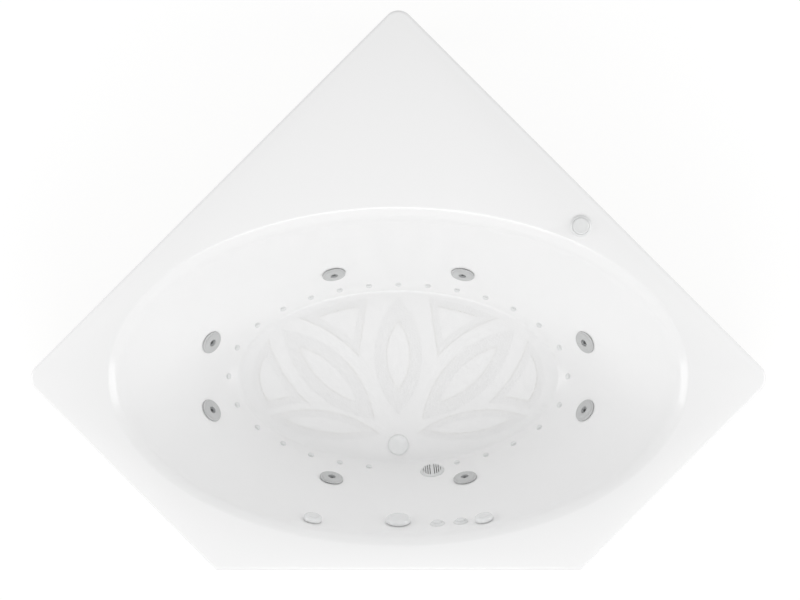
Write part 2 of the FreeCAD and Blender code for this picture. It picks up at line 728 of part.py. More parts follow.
def oval_of_arcs(name, long, short, level, radius, gap):
    """A tube on tangent arcs near an oval of these half-axes, open at the front between two x."""
    diagonal = math.hypot(long, short)
    tight = diagonal * (diagonal - (long - short)) / (2 * long)
    wide = diagonal * (diagonal + (long - short)) / (2 * short)
    ends, tops = Vector(long - tight, 0, 0), Vector(0, short - wide, 0)
    out = (ends - tops).normalize()
    corner = ends + out * tight
    shift = Vector(0, D.BasinShift.value, level)

    def mirrored(point, side, way):
        return Vector(point.x * side, point.y * way, 0) + shift

    def front(x):
        return Vector(x, -(tops.y + math.sqrt(wide * wide - x * x)), 0) + shift

    def arc(first, middle, last):
        return Part.Arc(first, middle, last).toShape()
    top, side = Vector(0, short, 0), Vector(long, 0, 0)
    route = DOC.addObject("Part::Feature", name + "Route")
    route.Shape = Part.Wire([
        arc(front(gap[1]), front((gap[1] + corner.x) / 2), mirrored(corner, 1, -1)),
        arc(mirrored(corner, 1, -1), mirrored(side, 1, 1), mirrored(corner, 1, 1)),
        arc(mirrored(corner, 1, 1), mirrored(top, 1, 1), mirrored(corner, -1, 1)),
        arc(mirrored(corner, -1, 1), mirrored(side, -1, 1), mirrored(corner, -1, -1)),
        arc(mirrored(corner, -1, -1), front((gap[0] - corner.x) / 2), front(gap[0]))])
    first = route.Shape.Edges[0]
    heading = first.tangentAt(first.FirstParameter)
    outside = swept(name + "Outside", route, radius, heading)
    return cut(name, outside, swept(name + "Bore", route, as_size(radius) - D.PipeWall, heading))


def make_injectors():
    wall_hole("InjectorHole", INJECTORS, D.InjectorStem - D.FitGap, D.InjectorStem + D.FitGap,
              D.InjectorHead + 2)
    repeat("air_injectors", injector(), INJECTORS)
    repeat("injector_nuts", nut("InjectorNut", D.InjectorHead, D.InjectorStem + D.FitGap,
                                -D.WallGrip, as_size(5)), INJECTORS)
    ends = [at(place, 0, 0, -D.InjectorLength) for place in INJECTORS]
    long = max(end.x for end in ends)
    short = max(end.y for end in ends) - D.BasinShift.value
    level = sum(end.z for end in ends) / len(ends)
    front_ends = sorted(end.x for end in ends if end.y < D.BasinShift.value - short * 0.9)
    gap = (max(x for x in front_ends if x < 0) + 10, min(x for x in front_ends if x > 0) - 10)
    node(oval_of_arcs("ring_hose", long, short, level, D.RingHose, gap), "ring_hose")
    return long, level


RING_LONG, RING_LEVEL = make_injectors()


# ---- waste, overflow and suction ----

DRAIN = Placement(Vector(0, D.BasinShift.value - D.DrainReach.value, D.FloorLevel.value), Rotation())
WASTE_LINE = OVERFLOW.Base.y - 34
WASTE_BACK = WASTE_LINE - DRAIN.Base.y


def spider(name, reach, hub, low, thick, bore):
    """Three spokes and a hub that guides a stem."""
    spokes = []
    for turn in (0, 60, 120):
        spoke = box(name + "Spoke" + str(turn), (0, 0, 0), (reach * 2, as_size(3), thick))
        spoke.Placement = Placement(Vector(), Rotation(Vector(0, 0, 1), turn))
        angle = math.radians(turn)
        move(spoke, reach * -math.cos(angle) + 1.5 * math.sin(angle),
             reach * -math.sin(angle) - 1.5 * math.cos(angle), low)
        spokes.append(spoke)
    middle = rod(name + "Hub", hub, low, as_size(low) + thick)
    return cut(name, fuse(name + "Solid", spokes + [middle]),
               rod(name + "Bore", bore, as_size(low) - 1, as_size(low) + thick + 1))


def make_drain():
    flange, tail = D.DrainFlange, D.WastePipe - 1.5
    screw = D.WastePipe + 1.8
    low = -D.ShellWall - 25
    wall_hole("DrainHole", [DRAIN], flange, screw + D.FitGap, flange)
    ring = lathe("DrainRing", [(tail, 2), (tail + 4, 2.2), (flange - 1, 1), (flange, 0), (flange, SEAT),
                               (screw, SEAT), (screw, low), (tail, low)])
    guide = spider("DrainGuide", tail + 0.5, as_size(6), low, as_size(4), as_size(4.05))
    node(placed("DrainFlangeCopy", fuse("DrainFlange", [ring, guide]), DRAIN), "drain_flange")
    cap = D.StopperRadius
    stopper = lathe("Stopper", [(0, 6.8), (cap * 0.6, 6.4), (cap - 3, 5), (cap, 3.6), (cap, 2.6), (4, 2.6),
                                (4, low - 6), (0, low - 6)])
    node(placed("StopperCopy", stopper, DRAIN), "drain_stopper")
    under = -D.ShellWall
    node(placed("DrainGasketCopy", washer("DrainGasket", flange - 2, screw + D.FitGap, under - 2,
                                          as_size(2)), DRAIN), "drain_gasket")
    pipe_drop = D.WasteLevel - D.FloorLevel
    floor = pipe_drop - D.WastePipe - D.TeeWall
    cup = rod("DrainCup", screw + D.TeeWall + 2, floor, under - 2)
    arm = rod("DrainArm", D.WastePipe + D.TeeWall, 0, 60)
    arm.Placement = Placement(Vector(), Rotation(Vector(1, 0, 0), 90))
    move(arm, 0, 0, pipe_drop)
    way = rod("DrainWay", D.WastePipe + 0.1, 0, 61)
    way.Placement = Placement(Vector(), Rotation(Vector(1, 0, 0), 90))
    move(way, 0, 0, pipe_drop)
    hollow = rod("DrainCupHollow", screw + D.FitGap, floor + D.TeeWall, under)
    body = cut("DrainBody", fuse("DrainBodySolid", [cup, arm]), fuse("DrainBodyWays", [way, hollow]))
    node(placed("DrainBodyCopy", body, DRAIN), "drain_body")


def pipe_between(name, start, end, radius, wall):
    """A straight hollow pipe from one point to another."""
    heading = end - start
    place = Placement(start, Rotation(Vector(0, 0, 1), heading))
    length = as_size(heading.Length)
    pipe = washer(name, radius, as_size(radius) - wall, as_size(0), length)
    pipe.Placement = place
    return pipe


def make_waste():
    level, thin = D.WasteLevel.value, D.PipeWall
    line = Vector(0, WASTE_LINE, level)
    reach = D.WastePipe.value + D.TeeWall.value + 12
    node(pipe_between("waste_pipe", Vector(0, DRAIN.Base.y - 42, level), line + Vector(0, 20, 0),
                      D.WastePipe, thin), "waste_pipe")
    upright = Rotation(Vector(0, 0, 1), Vector(1, 0, 0), Vector(0, -1, 0), "XZY")
    node(tee("waste_tee", D.WastePipe, reach, reach, Placement(line, upright)), "waste_tee")
    inner, spigot = D.WastePipe - D.PipeWall, D.WasteSpigot
    length = D.WasteLevel - D.WasteDrop - 21
    tail = lathe("waste_tailpiece", [
        (inner, 0), (spigot, 0), (spigot, D.SpigotLength), (D.WastePipe, D.SpigotLength),
        (D.WastePipe, length), (inner, length)])
    move(tail, 0, WASTE_LINE, D.WasteDrop)
    node(tail, "waste_tailpiece")
    top = OVERFLOW.Base.z - 28
    node(pipe_between("overflow_pipe", line + Vector(0, 0, 21), Vector(0, WASTE_LINE, top),
                      D.WastePipe, thin), "overflow_pipe")
    return top


def make_overflow(pipe_top):
    knob, throat = D.OverflowKnob, as_size(17)
    wall_hole("OverflowHole", [OVERFLOW], knob - 4, throat + D.FitGap, as_size(32))
    plate = lathe("OverflowPlate", [(throat - 3, 2.5), (knob - 5, 2.5), (knob - 5, SEAT), (throat, SEAT),
                                    (throat, -24), (throat - 3, -24)])
    guide = spider("OverflowGuide", throat - 2.5, as_size(8), as_size(-1), as_size(3.5), as_size(5.05))
    node(placed("OverflowPlateCopy", fuse("OverflowFlange", [plate, guide]), OVERFLOW),
         "overflow_flange")
    deep = D.OverflowDepth
    dome = lathe("OverflowDome", [
        (0, deep), (knob * 0.55, deep - 0.5), (knob - 5, deep - 3), (knob - 1, deep - 8),
        (knob, deep - 13), (knob, 3.2), (knob - 3, 3.2), (knob - 3, deep - 12), (knob * 0.5, deep - 5),
        (5, deep - 5), (5, -16), (0, -16)])
    notch = box("OverflowNotch", (-14, -knob - 2, 2), (as_size(28), as_size(12), as_size(7)))
    node(placed("OverflowKnobCopy", cut("OverflowKnobShape", dome, notch), OVERFLOW), "overflow_knob")
    cup = lathe("OverflowCup", [(throat + D.FitGap, -D.WallGrip - 0.2), (30, -D.WallGrip - 0.2),
                                (30, -34), (0, -34), (0, -31), (throat + D.FitGap, -31)])
    cup.Placement = OVERFLOW
    well = rod("OverflowWell", D.WastePipe + D.TeeWall, pipe_top - 22, pipe_top + 26, 0, WASTE_LINE)
    hollow = placed("OverflowHollow", rod("OverflowHollowRod", throat + D.FitGap, -31, 0), OVERFLOW)
    way = rod("OverflowWay", D.WastePipe + 0.1, pipe_top - 23, pipe_top + 23, 0, WASTE_LINE)
    node(cut("overflow_body", fuse("OverflowBodySolid", [cup, well]),
             fuse("OverflowBodyWays", [hollow, way])), "overflow_body")
    cable = DOC.addObject("Part::Feature", "LiftCableRoute")
    cable.Shape = rounded_route([at(OVERFLOW, 0, 0, -17), Vector(0, WASTE_LINE, pipe_top + 6),
                                 Vector(0, WASTE_LINE, D.WasteLevel.value),
                                 Vector(0, DRAIN.Base.y - 12, D.WasteLevel.value - 4)], 26)
    heading = Vector(0, WASTE_LINE, pipe_top + 6) - at(OVERFLOW, 0, 0, -17)
    node(swept("lift_cable", cable, as_size(1.5), heading), "lift_cable")


def make_suction():
    cover, bore = D.SuctionCover, D.SuctionPipe
    wall_hole("SuctionHole", [SUCTION], cover, bore + D.FitGap, cover + 2)
    dome = lathe("SuctionDome", [
        (0, 9), (cover * 0.5, 8.4), (cover - 7, 6.4), (cover - 1.5, 3.4), (cover, 1), (cover, SEAT),
        (cover - 2, SEAT), (cover - 2, 1), (cover - 8, 4), (0, 6)])
    slots = []
    for i in range(9):
        across = (i - 4) * 6.2
        half = math.sqrt(max((cover.value - 8) ** 2 - across ** 2, 25))
        if i == 4:
            continue
        slots.append(box("SuctionSlot" + str(i), (across - 1.1, -half, 2),
                         (as_size(2.2), as_size(2 * half), as_size(12))))
    node(placed("SuctionCoverCopy", cut("SuctionGrille", dome, fuse("SuctionSlots", slots)), SUCTION),
         "suction_cover")
    back, step = -D.SuctionBack, D.TeeWall
    shell = lathe("SuctionShell", [
        (bore - 3, 1), (cover - 3, 1), (cover - 3, SEAT), (bore, SEAT), (bore, -D.WallGrip - 11),
        (bore - 1, -D.WallGrip - 11), (bore - 1, back - bore - step), (0, back - bore - step),
        (0, back - bore), (bore - 3, back - bore)])
    run = cross_rod("SuctionRun", bore + step, as_size(40), back)
    way = rod("SuctionWay", bore + 0.1, 0, 60)
    way.Placement = Placement(Vector(), Rotation(Vector(0, 1, 0), 90))
    move(way, -18, 0, back)
    node(placed("SuctionBodyCopy", cut("SuctionBody", fuse("SuctionSolid", [shell, run]), way),
                SUCTION), "suction_body")
    node(placed("SuctionNutCopy", nut("SuctionNut", cover + 1, bore + D.FitGap, -D.WallGrip,
                                      D.NutThick), SUCTION), "suction_nut")
    mouth = at(PUMP, 0, 0, D.VoluteThick / 2 + 24)
    start = at(SUCTION, 24, 0, back)
    out = start + heading_of(SUCTION, 1, 0, 0) * 190
    inlet = mouth + heading_of(PUMP, 0, 0, 1) * 130
    along = Vector(-470, D.BasinShift.value - 322, (start.z * 2 + mouth.z) / 3)
    node(hose("suction_hose", [start, out, along, inlet, mouth], bore, 110), "suction_hose")


make_drain()
OVERFLOW_TOP = make_waste()
make_overflow(OVERFLOW_TOP)
make_suction()


# ---- controls on the front wall and the deck ----

def make_dials():
    radius, deep = D.DialRadius, D.DialDepth
    wall_hole("DialHole", list(DIALS.values()), radius - 3, 12 + D.FitGap, radius - 2)
    knob = lathe("DialKnob", [(0, deep), (radius - 9, deep), (radius - 4, deep - 1.6),
                              (radius - 1, deep - 5), (radius, deep - 9), (radius, 3), (radius - 2.5, 3),
                              (radius - 2.5, deep - 7), (6, deep - 7), (6, -14), (0, -14)])
    body = lathe("DialBody", [(6.05, 2), (radius - 4, 2), (radius - 4, SEAT), (12, SEAT), (12, -30),
                              (8, -34), (8, -52), (5, -52), (5, -17), (6.05, -17)])
    back = nut("DialNut", as_size(22), 12 + D.FitGap, -D.WallGrip, as_size(6))
    for side, place in DIALS.items():
        node(placed("DialKnobCopy" + side, knob, place), "air_dial_" + side)
    repeat("dial_bodies", body, list(DIALS.values()))
    repeat("dial_nuts", back, list(DIALS.values()))
    hoses = []
    for side, jet, way in (("left", JETS[4], 1), ("right", JETS[3], -1)):
        start = at(DIALS[side], 0, 0, -46)
        out = heading_of(DIALS[side], 0, 0, -1)
        end = at(jet, way * (16 - D.TeeHalf.value), 0, -D.AirTeeBack)
        lead = heading_of(jet, -way, 0, 0)
        bend = start + out * 40
        hoses.append(hose("DialHose" + side, [start, bend, Vector(end.x + lead.x * 70, bend.y + 6, end.z + 90),
                                              end + lead * 62, end], as_size(5), 34, as_size(1.2)))
    node(group("dial_hoses", hoses), "dial_hoses")


def make_buttons():
    base, cap, travel = D.ButtonBase, D.ButtonCap, D.ButtonTravel
    places = list(BUTTONS.values())
    stem = cap + 1.5
    wall_hole("ButtonHole", places, base, stem + D.FitGap, base + 2)
    housing = lathe("ButtonHousing", [
        (cap + D.FitGap, 5), (cap + 2.5, 5.5), (cap + 4, 4), (base - 1.5, 2.6), (base, 1), (base, SEAT),
        (stem, SEAT), (stem, -26), (5, -30), (5, -40), (3, -40), (3, -24), (cap + D.FitGap, -24)])
    button = lathe("ButtonCap", [(0, 10), (cap - 3, 9.6), (cap - 0.8, 8.4), (cap, 7), (cap, -12),
                                 (cap - 2, -12), (cap - 2, 6), (0, 6)])
    spring_rest = lathe("ButtonPost", [(0, -27), (4, -27), (4, 5.5 - travel), (0, 5.5 - travel)])
    repeat("small_housings", fuse("ButtonHousingPost", [housing, spring_rest]), places)
    repeat("button_nuts", nut("ButtonNut", base, stem + D.FitGap, -D.WallGrip, as_size(6)), places)
    for side, place in BUTTONS.items():
        node(placed("ButtonCopy" + side, button, place), "push_button_" + side)
    deck = Placement(Vector(D.DeckButtonAcross.value, D.DeckButtonBack.value, D.TubHeight.value),
                     Rotation())
    wide, top = D.DeckButtonBase, D.DeckButtonCap
    bore = top + 2
    SHELL_CUTTERS["deck"].append(placed("DeckButtonCut", rod("DeckButtonHole", bore + D.FitGap, -30, 30), deck))
    bezel = lathe("DeckBezel", [
        (top + D.FitGap, 7), (top + 2, 7.6), (wide - 3, 6), (wide, 2.5), (wide, 0), (bore, 0),
        (bore, -30), (6, -36), (6, -48), (4, -48), (4, -34), (top + D.FitGap, -28)])
    node(placed("DeckBezelCopy", bezel, deck), "deck_button_bezel")
    crown = lathe("DeckCap", [(0, 11), (top - 5, 10.6), (top - 1, 9), (top, 7.5), (top, -18),
                              (top - 2, -18), (top - 2, 7), (0, 7)])
    node(placed("DeckCapCopy", crown, deck), "deck_button")
    node(placed("DeckNutCopy", nut("DeckNut", wide + 1, bore + D.FitGap, -D.ShellWall, as_size(6)),
                deck), "deck_button_nut")


# ---- pump and blower ----

def make_pump():
    round_, half = D.VoluteRadius, D.VoluteThick / 2
    wall, inlet, shaft = as_size(6), D.SuctionPipe, D.ShaftRadius
    back = -half
    case = lathe("VoluteCase", [
        (shaft + 0.05, back), (round_, back), (round_, half), (inlet + 4, half), (inlet + 4, half + 44),
        (inlet + 0.1, half + 44), (inlet + 0.1, half + 4), (inlet - 4, half - wall),
        (round_ - wall, half - wall), (round_ - wall, back + wall), (shaft + 0.05, back + wall)])
    reach = as_size(85)
    outlet, way = [], []
    for kind, radius, long, start in (("Solid", D.WaterPipe + D.TeeWall, reach, 0),
                                      ("Way", D.WaterPipe + 0.1, reach + 1, 1)):
        stub = rod("VoluteOutlet" + kind, radius, 0, long - start)
        stub.Placement = Placement(Vector(), Rotation(Vector(0, 1, 0), 90))
        move(stub, start, VOLUTE_OUTLET, 0)
        (outlet if kind == "Solid" else way).append(stub)
    shell = cut("Volute", fuse("VoluteSolid", [case] + outlet), way[0])
    cavity = washer("VoluteCavity", round_ - wall, shaft + 1, back + wall, D.VoluteThick - wall * 2)
    node(placed("VoluteCopy", cut("VoluteOpen", shell, cavity), PUMP), "pump_volute")
    motor_end = back - D.MotorLength
    motor = lathe("MotorShape", [
        (shaft + 0.05, back - 0.2), (D.MotorRadius - 12, back - 0.2), (D.MotorRadius - 12, back - 12),
        (D.MotorRadius, back - 16), (D.MotorRadius, motor_end + 14), (D.MotorRadius - 8, motor_end),
        (0, motor_end), (0, back - 70), (shaft + 0.05, back - 70)])
    node(placed("MotorCopy", motor, PUMP), "pump_motor")
    wheel = rod("ImpellerDisc", D.ImpellerRadius, -12, -8)
    hub = lathe("ImpellerHub", [(0, 12), (8, 10), (14, -8), (shaft, -12), (shaft, back - 66),
                                (0, back - 66)])
    vanes = []
    for turn in range(0, 360, 60):
        vane = box("Vane" + str(turn), (0, 0, -9), (D.ImpellerRadius - 10, as_size(3), as_size(19)))
        angle = math.radians(turn)
        vane.Placement = Placement(Vector(), Rotation(Vector(0, 0, 1), turn + 25))
        move(vane, 9 * math.cos(angle), 9 * math.sin(angle), -9)
        vanes.append(vane)
    node(placed("ImpellerCopy", fuse("Impeller", [wheel, hub] + vanes), PUMP), "pump_impeller")
    node(pipe_between("feed_pipe", at(PUMP, reach - 20, VOLUTE_OUTLET, 0),
                      FEED_TEE - Vector(D.TeeHalf.value - 16, 0, 0), D.WaterPipe, D.PipeWall.value),
         "feed_pipe")
    across = Rotation(Vector(0, 1, 0), Vector(0, 0, 1), Vector(1, 0, 0), "ZXY")
    node(tee("feed_tee", D.WaterPipe, D.TeeHalf, D.TeeHalf, Placement(FEED_TEE, across)), "feed_tee")
    saddle_long, saddle_wide = D.MotorLength - 60, D.MotorRadius * 2 - 10
    front = PUMP.Base.y + D.VoluteThick.value / 2 + 20
    block = box("PumpBlock", (-D.PumpReach - saddle_wide / 2, front, 0),
                (saddle_wide, saddle_long, as_size(PUMP.Base.z)))
    cradle = placed("PumpCradle", rod("PumpCradleRod", D.MotorRadius + D.FitGap, -400, 100), PUMP)
    arch = box("PumpArch", (-D.PumpReach - saddle_wide / 2 + 14, front - 1, -1),
               (saddle_wide - 28, saddle_long + 2, as_size(PUMP.Base.z) - D.MotorRadius - 9))
    node(cut("pump_mount", block, fuse("PumpMountWays", [cradle, arch])), "pump_mount")


def make_blower():
    round_, tall = D.BlowerRadius, D.BlowerHeight
    level = as_size(RING_LEVEL)
    base = level - tall / 2
    wall = as_size(5)
    x, y = D.BlowerReach.value, D.BasinShift.value
    place = Placement(Vector(x, y, base.value), Rotation())
    case = lathe("BlowerCase", [
        (6.05, 0), (round_, 0), (round_, tall), (34, tall), (34, tall - wall), (round_ - wall, tall - wall),
        (round_ - wall, wall), (6.05, wall)])
    spout = rod("BlowerSpout", D.RingHose + 2, round_ - 6, round_ + 40)
    spout.Placement = Placement(Vector(), Rotation(Vector(0, 1, 0), -90))
    move(spout, 6 - round_, 0, tall / 2)
    mouth = rod("BlowerMouth", D.RingHose + 0.1, round_ - 12, round_ + 41)
    mouth.Placement = Placement(Vector(), Rotation(Vector(0, 1, 0), -90))
    move(mouth, 12 - round_, 0, tall / 2)
    node(placed("BlowerCopy", cut("Blower", fuse("BlowerSolid", [case, spout]), mouth), place),
         "blower_housing")
    disc = lathe("FanDisc", [(0, 14), (12, 14), (14, 12), (D.FanRadius, 12), (D.FanRadius, 9), (14, 9),
                             (6, 9), (6, -12), (0, -12)])
    blades = []
    for turn in range(0, 360, 30):
        blade = box("Blade" + str(turn), (0, 0, 0), (as_size(18), as_size(2), tall - wall * 2 - 18))
        blade.Placement = Placement(Vector(), Rotation(Vector(0, 0, 1), turn + 30))
        angle = math.radians(turn)
        reach = D.FanRadius - 20
        move(blade, reach * math.cos(angle), reach * math.sin(angle), 11)
        blades.append(blade)
    node(placed("FanCopy", fuse("Fan", [disc] + blades), place), "blower_fan")
    feed_end = D.BlowerReach - round_ - 26
    node(pipe_between("blower_hose", Vector(feed_end.value, y, level.value),
                      Vector(RING_LONG + D.RingHose.value - 0.5, y, level.value), D.RingHose,
                      D.PipeWall.value), "blower_hose")
    half = round_ - 22
    stand = box("BlowerStand", (D.BlowerReach - half, D.BasinShift - half, 0), (half * 2, half * 2, base))
    arch = box("BlowerArch", (D.BlowerReach - half + 12, D.BasinShift - half - 1, -1),
               (half * 2 - 24, half * 2 + 2, base - 9))
    well = rod("BlowerWell", as_size(14), base - 20, base + 1, D.BlowerReach, D.BasinShift)
    node(cut("blower_bracket", stand, fuse("BlowerWays", [arch, well])), "blower_bracket")


# ---- base frame, deck posts, battens and apron ----

def tube_box(name, corner, extent, along):
    """A rectangular steel tube, hollow along X (0) or Y (1)."""
    outer = box(name + "Outer", corner, extent)
    wall = D.RailWall
    low = [c if i == along else as_size(c) + wall for i, c in enumerate(corner)]
    span = [e if i == along else as_size(e) - wall * 2 for i, e in enumerate(extent)]
    low[along] = as_size(low[along]) - 1
    span[along] = as_size(span[along]) + 2
    return cut(name, outer, box(name + "Inner", low, span))


def make_base():
    under = D.FloorLevel - D.ShellWall
    board_low = under - D.BoardThick
    rail_low = board_low - D.RailHeight
    corner = (-D.BoardLong / 2, D.BasinShift - D.BoardShort / 2, board_low)
    node(box("base_board", corner, (D.BoardLong, D.BoardShort, D.BoardThick)), "base_board")
    rails, feet, rods, nuts = [], [], [], []
    for i, side in enumerate((-1, 1)):
        middle = D.BasinShift + D.RailSpread * side
        rails.append(tube_box("Rail" + str(i), (-D.RailLength / 2, middle - D.RailWidth / 2, rail_low),
                              (D.RailLength, D.RailWidth, D.RailHeight), 0))
        for k, share in enumerate((-1, 0, 1)):
            x = D.RailLength / 2 * share - 30 * share
            name = "Foot" + str(i) + str(k)
            feet.append(rod(name + "Pad", D.FootPad, 0, D.FootPadThick, x, middle))
            rods.append(rod(name + "Rod", D.FootRod, D.FootPadThick, rail_low, x, middle))
            hexagon = nut(name + "Nut", D.FootRod * 1.9, D.FootRod + 0.1, rail_low, as_size(8))
            move(hexagon, x, middle, 0)
            nuts.append(hexagon)
    node(group("long_rails", rails), "long_rails")
    node(group("foot_pads", feet), "foot_pads")
    node(group("foot_rods", rods), "foot_rods")
    node(group("foot_nuts", nuts), "foot_nuts")
    crosses = []
    for i, share in enumerate((-0.62, 0.62)):
        x = D.RailLength / 2 * share - D.RailWidth / 2
        half = D.RailSpread - D.RailWidth / 2
        crosses.append(tube_box("Cross" + str(i), (x, D.BasinShift - half, rail_low),
                                (D.RailWidth, half * 2, D.RailHeight), 1))
    node(group("cross_rails", crosses), "cross_rails")


def deck_post_places():
    """Post centres: two behind the front corners, two at the side corners, one at the wall corner."""
    inset = D.PostInset + D.PostWidth / 2
    front = deck_points(inset)[3]
    side = deck_points(inset + D.CornerRound / 2)[4]
    apex = deck_points(inset + D.CornerRound / 2)[0]
    return [(-front[0] + 30, front[1]), (front[0] - 30, front[1]), (-side[0], side[1]), side, apex]


def make_deck_supports():
    top = D.TubHeight - D.ShellWall
    posts = []
    for i, (x, y) in enumerate(deck_post_places()):
        half = D.PostWidth / 2
        posts.append(box("Post" + str(i), (x - half, y - half, 0), (D.PostWidth, D.PostWidth, top)))
    node(group("deck_posts", posts), "deck_posts")
    battens = []
    for name, side in (("Left", -1), ("Right", 1)):
        outer, inner = D.LipWall, D.LipWall + D.BattenThick
        near, far = deck_points(outer), deck_points(inner)
        ends = (0.1, 0.9)
        run = [(near[0][0] * (1 - e) + near[4][0] * e * side, near[0][1] * (1 - e) + near[4][1] * e)
               for e in ends]
        run += [(far[0][0] * (1 - e) + far[4][0] * e * side, far[0][1] * (1 - e) + far[4][1] * e)
                for e in reversed(ends)]
        battens.append(slab("Batten" + name, run, top - D.BattenDepth, D.BattenDepth))
    node(group("wall_battens", battens), "wall_battens")


def strip(name, inset, low, high, edge, ends):
    """A timber strip behind one edge of the deck's outline, between two shares of that edge."""
    outer, inner = deck_points(inset), deck_points(inset + D.BattenThick)

    def along(points, share):
        (x0, y0), (x1, y1) = points[edge], points[edge + 1]
        return x0 * (1 - share) + x1 * share, y0 * (1 - share) + y1 * share
    run = [along(outer, ends[0]), along(outer, ends[1]), along(inner, ends[1]), along(inner, ends[0])]
    return slab(name, run, low, high - low)


APRON_EDGES = {"left": (1, (0.1, 0.94)), "front": (2, (0.03, 0.97)), "right": (3, (0.06, 0.9))}


def make_apron_strips():
    """Timber strips that the panels lie against: one set under the deck, one on the floor."""
    behind = D.PanelInset + D.PanelThick
    top = D.TubHeight - D.ShellWall
    low = D.TubHeight - D.LipDepth - D.BattenDepth
    for node_name, floor, roof in (("apron_battens", low, top), ("floor_cleats", 0, D.BattenDepth)):
        node(group(node_name, [strip(node_name + name, behind, as_size(floor), as_size(roof), *where)
                               for name, where in APRON_EDGES.items()]), node_name)


def make_apron():
    low, high = D.PanelClear, D.TubHeight - D.LipDepth - D.FitGap
    outer, inner = deck_points(D.PanelInset), deck_points(D.PanelInset + D.PanelThick)
    gap = D.FitGap + 0.5
    front = [(outer[2][0] + gap, outer[2][1]), (outer[3][0] - gap, outer[3][1]),
             (inner[3][0] - gap, inner[3][1]), (inner[2][0] + gap, inner[2][1])]
    node(slab("apron_front", front, low, high - low), "apron_front")
    back_off = D.CornerRound + 20
    screws = []
    for name, side in (("left", -1), ("right", 1)):
        ends = [outer[3], (outer[4][0] - back_off, outer[4][1] - back_off)]
        run = [(ends[0][0] * side, ends[0][1]), (ends[1][0] * side, ends[1][1]),
               ((inner[4][0] - back_off) * side, inner[4][1] - back_off),
               (inner[3][0] * side, inner[3][1])]
        panel = slab("ApronBlank" + name, run, low, high - low)
        holes = []
        out = Vector(side, -1, 0).normalize()
        for k, share in enumerate((0.12, 0.5, 0.88)):
            for row, level in (("Top", high - D.BattenDepth / 2), ("Foot", D.BattenDepth * 0.7)):
                x = (ends[0][0] * (1 - share) + ends[1][0] * share) * side
                y = ends[0][1] * (1 - share) + ends[1][1] * share
                place = Placement(Vector(x.value, y.value, level.value),
                                  Rotation(Vector(0, 0, 1), out))
                tag = name + str(k) + row
                holes.append(placed("Hole" + tag, rod("HoleRod" + tag, D.ScrewShank + 0.2, -10, 10),
                                    place))
                screws.append(placed("Screw" + tag, apron_screw(tag), place))
        node(cut("apron_" + name, panel, fuse("ApronHoles" + name, holes)), "apron_" + name)
    node(group("apron_screws", screws), "apron_screws")


def apron_screw(tag):
    """A dome-headed screw whose shank fills the panel's hole."""
    head, shank = D.ScrewHead, D.ScrewShank
    return lathe("ScrewShape" + tag, [(0, -D.PanelThick), (shank, -D.PanelThick), (shank, 0), (head, 0),
                                      (head, 0.8), (head * 0.6, 2), (0, 2.4)])


def make_control_box():
    """A box on the corner post, with a lid and a cable gland underneath."""
    post_x, post_y = deck_post_places()[4]
    front = post_y - D.PostWidth / 2 - D.BoxDepth
    x, low, wall = -D.BoxWidth / 2, D.BoxLevel, as_size(4)
    case = box("BoxCase", (x, front, low), (D.BoxWidth, D.BoxDepth, D.BoxHeight))
    hollow = box("BoxHollow", (x + wall, front - 1, low + wall),
                 (D.BoxWidth - wall * 2, D.BoxDepth - wall + 1, D.BoxHeight - wall * 2))
    middle = front + D.BoxDepth / 2
    barrel = D.GlandBore + 3
    entry = rod("BoxEntry", barrel + 0.1, low - 1, low + wall + 1, 0, middle)
    node(cut("control_case", case, fuse("BoxWays", [hollow, entry])), "control_case")
    node(box("control_lid", (x, front - wall, low), (D.BoxWidth, wall, D.BoxHeight)), "control_lid")
    gland = lathe("GlandShape", [(D.GlandBore, -22), (barrel + 1, -22), (barrel + 3, -14),
                                 (barrel + 3, 0), (barrel, 0), (barrel, wall + 3),
                                 (D.GlandBore, wall + 3)])
    place = Placement(Vector(0, middle.value, low.value), Rotation())
    node(placed("GlandCopy", gland, place), "cable_gland")


def finish_shell():
    relief = []
    for name, (x, y, angle, length, width, band) in LEAVES.items():
        relief.append(petal_band(name, as_size(x), as_size(y), angle, length, width, band))
    for name, (reach, gaps, tilt) in FIELDS.items():
        relief += field_bands(name, reach, gaps, tilt)
    SHELL_CUTTERS["relief"] = relief
    shell = HOLLOWED
    for name, tools in SHELL_CUTTERS.items():
        tool = fuse("Holes" + name, tools) if len(tools) > 1 else tools[0]
        shell = cut("ShellAfter" + name, shell, tool)
        shell.Refine = False
    node(shell, "bath_shell")


make_dials()
make_buttons()
make_pump()
make_blower()
make_base()
make_deck_supports()
make_apron_strips()
make_apron()
make_control_box()
make_jets()
make_jet_hoses()
finish_shell()
gather("locknuts", "jet_locknuts", "injector_nuts", "suction_nut", "dial_nuts", "button_nuts",
       "deck_button_nut")
gather("gaskets", "jet_gaskets", "drain_gasket")
gather("waste_pipes", "waste_pipe", "overflow_pipe")
gather("levelling_feet", "foot_pads", "foot_rods", "foot_nuts")
gather("frame_rails", "long_rails", "cross_rails")
gather("air_hoses", "jet_air_hoses", "dial_hoses")
gather("water_hoses", "jet_water_hoses", "feed_pipe")
gather("air_ring_hose", "ring_hose", "blower_hose")
gather("timber_frame", "deck_posts", "wall_battens", "apron_battens", "floor_cleats")
gather("apron_sides", "apron_left", "apron_right")
gather("control_box", "control_case", "control_lid")
gather("button_housings", "small_housings", "deck_button_bezel")
gather("machine_mounts", "pump_mount", "blower_bracket")
DOC.recompute()

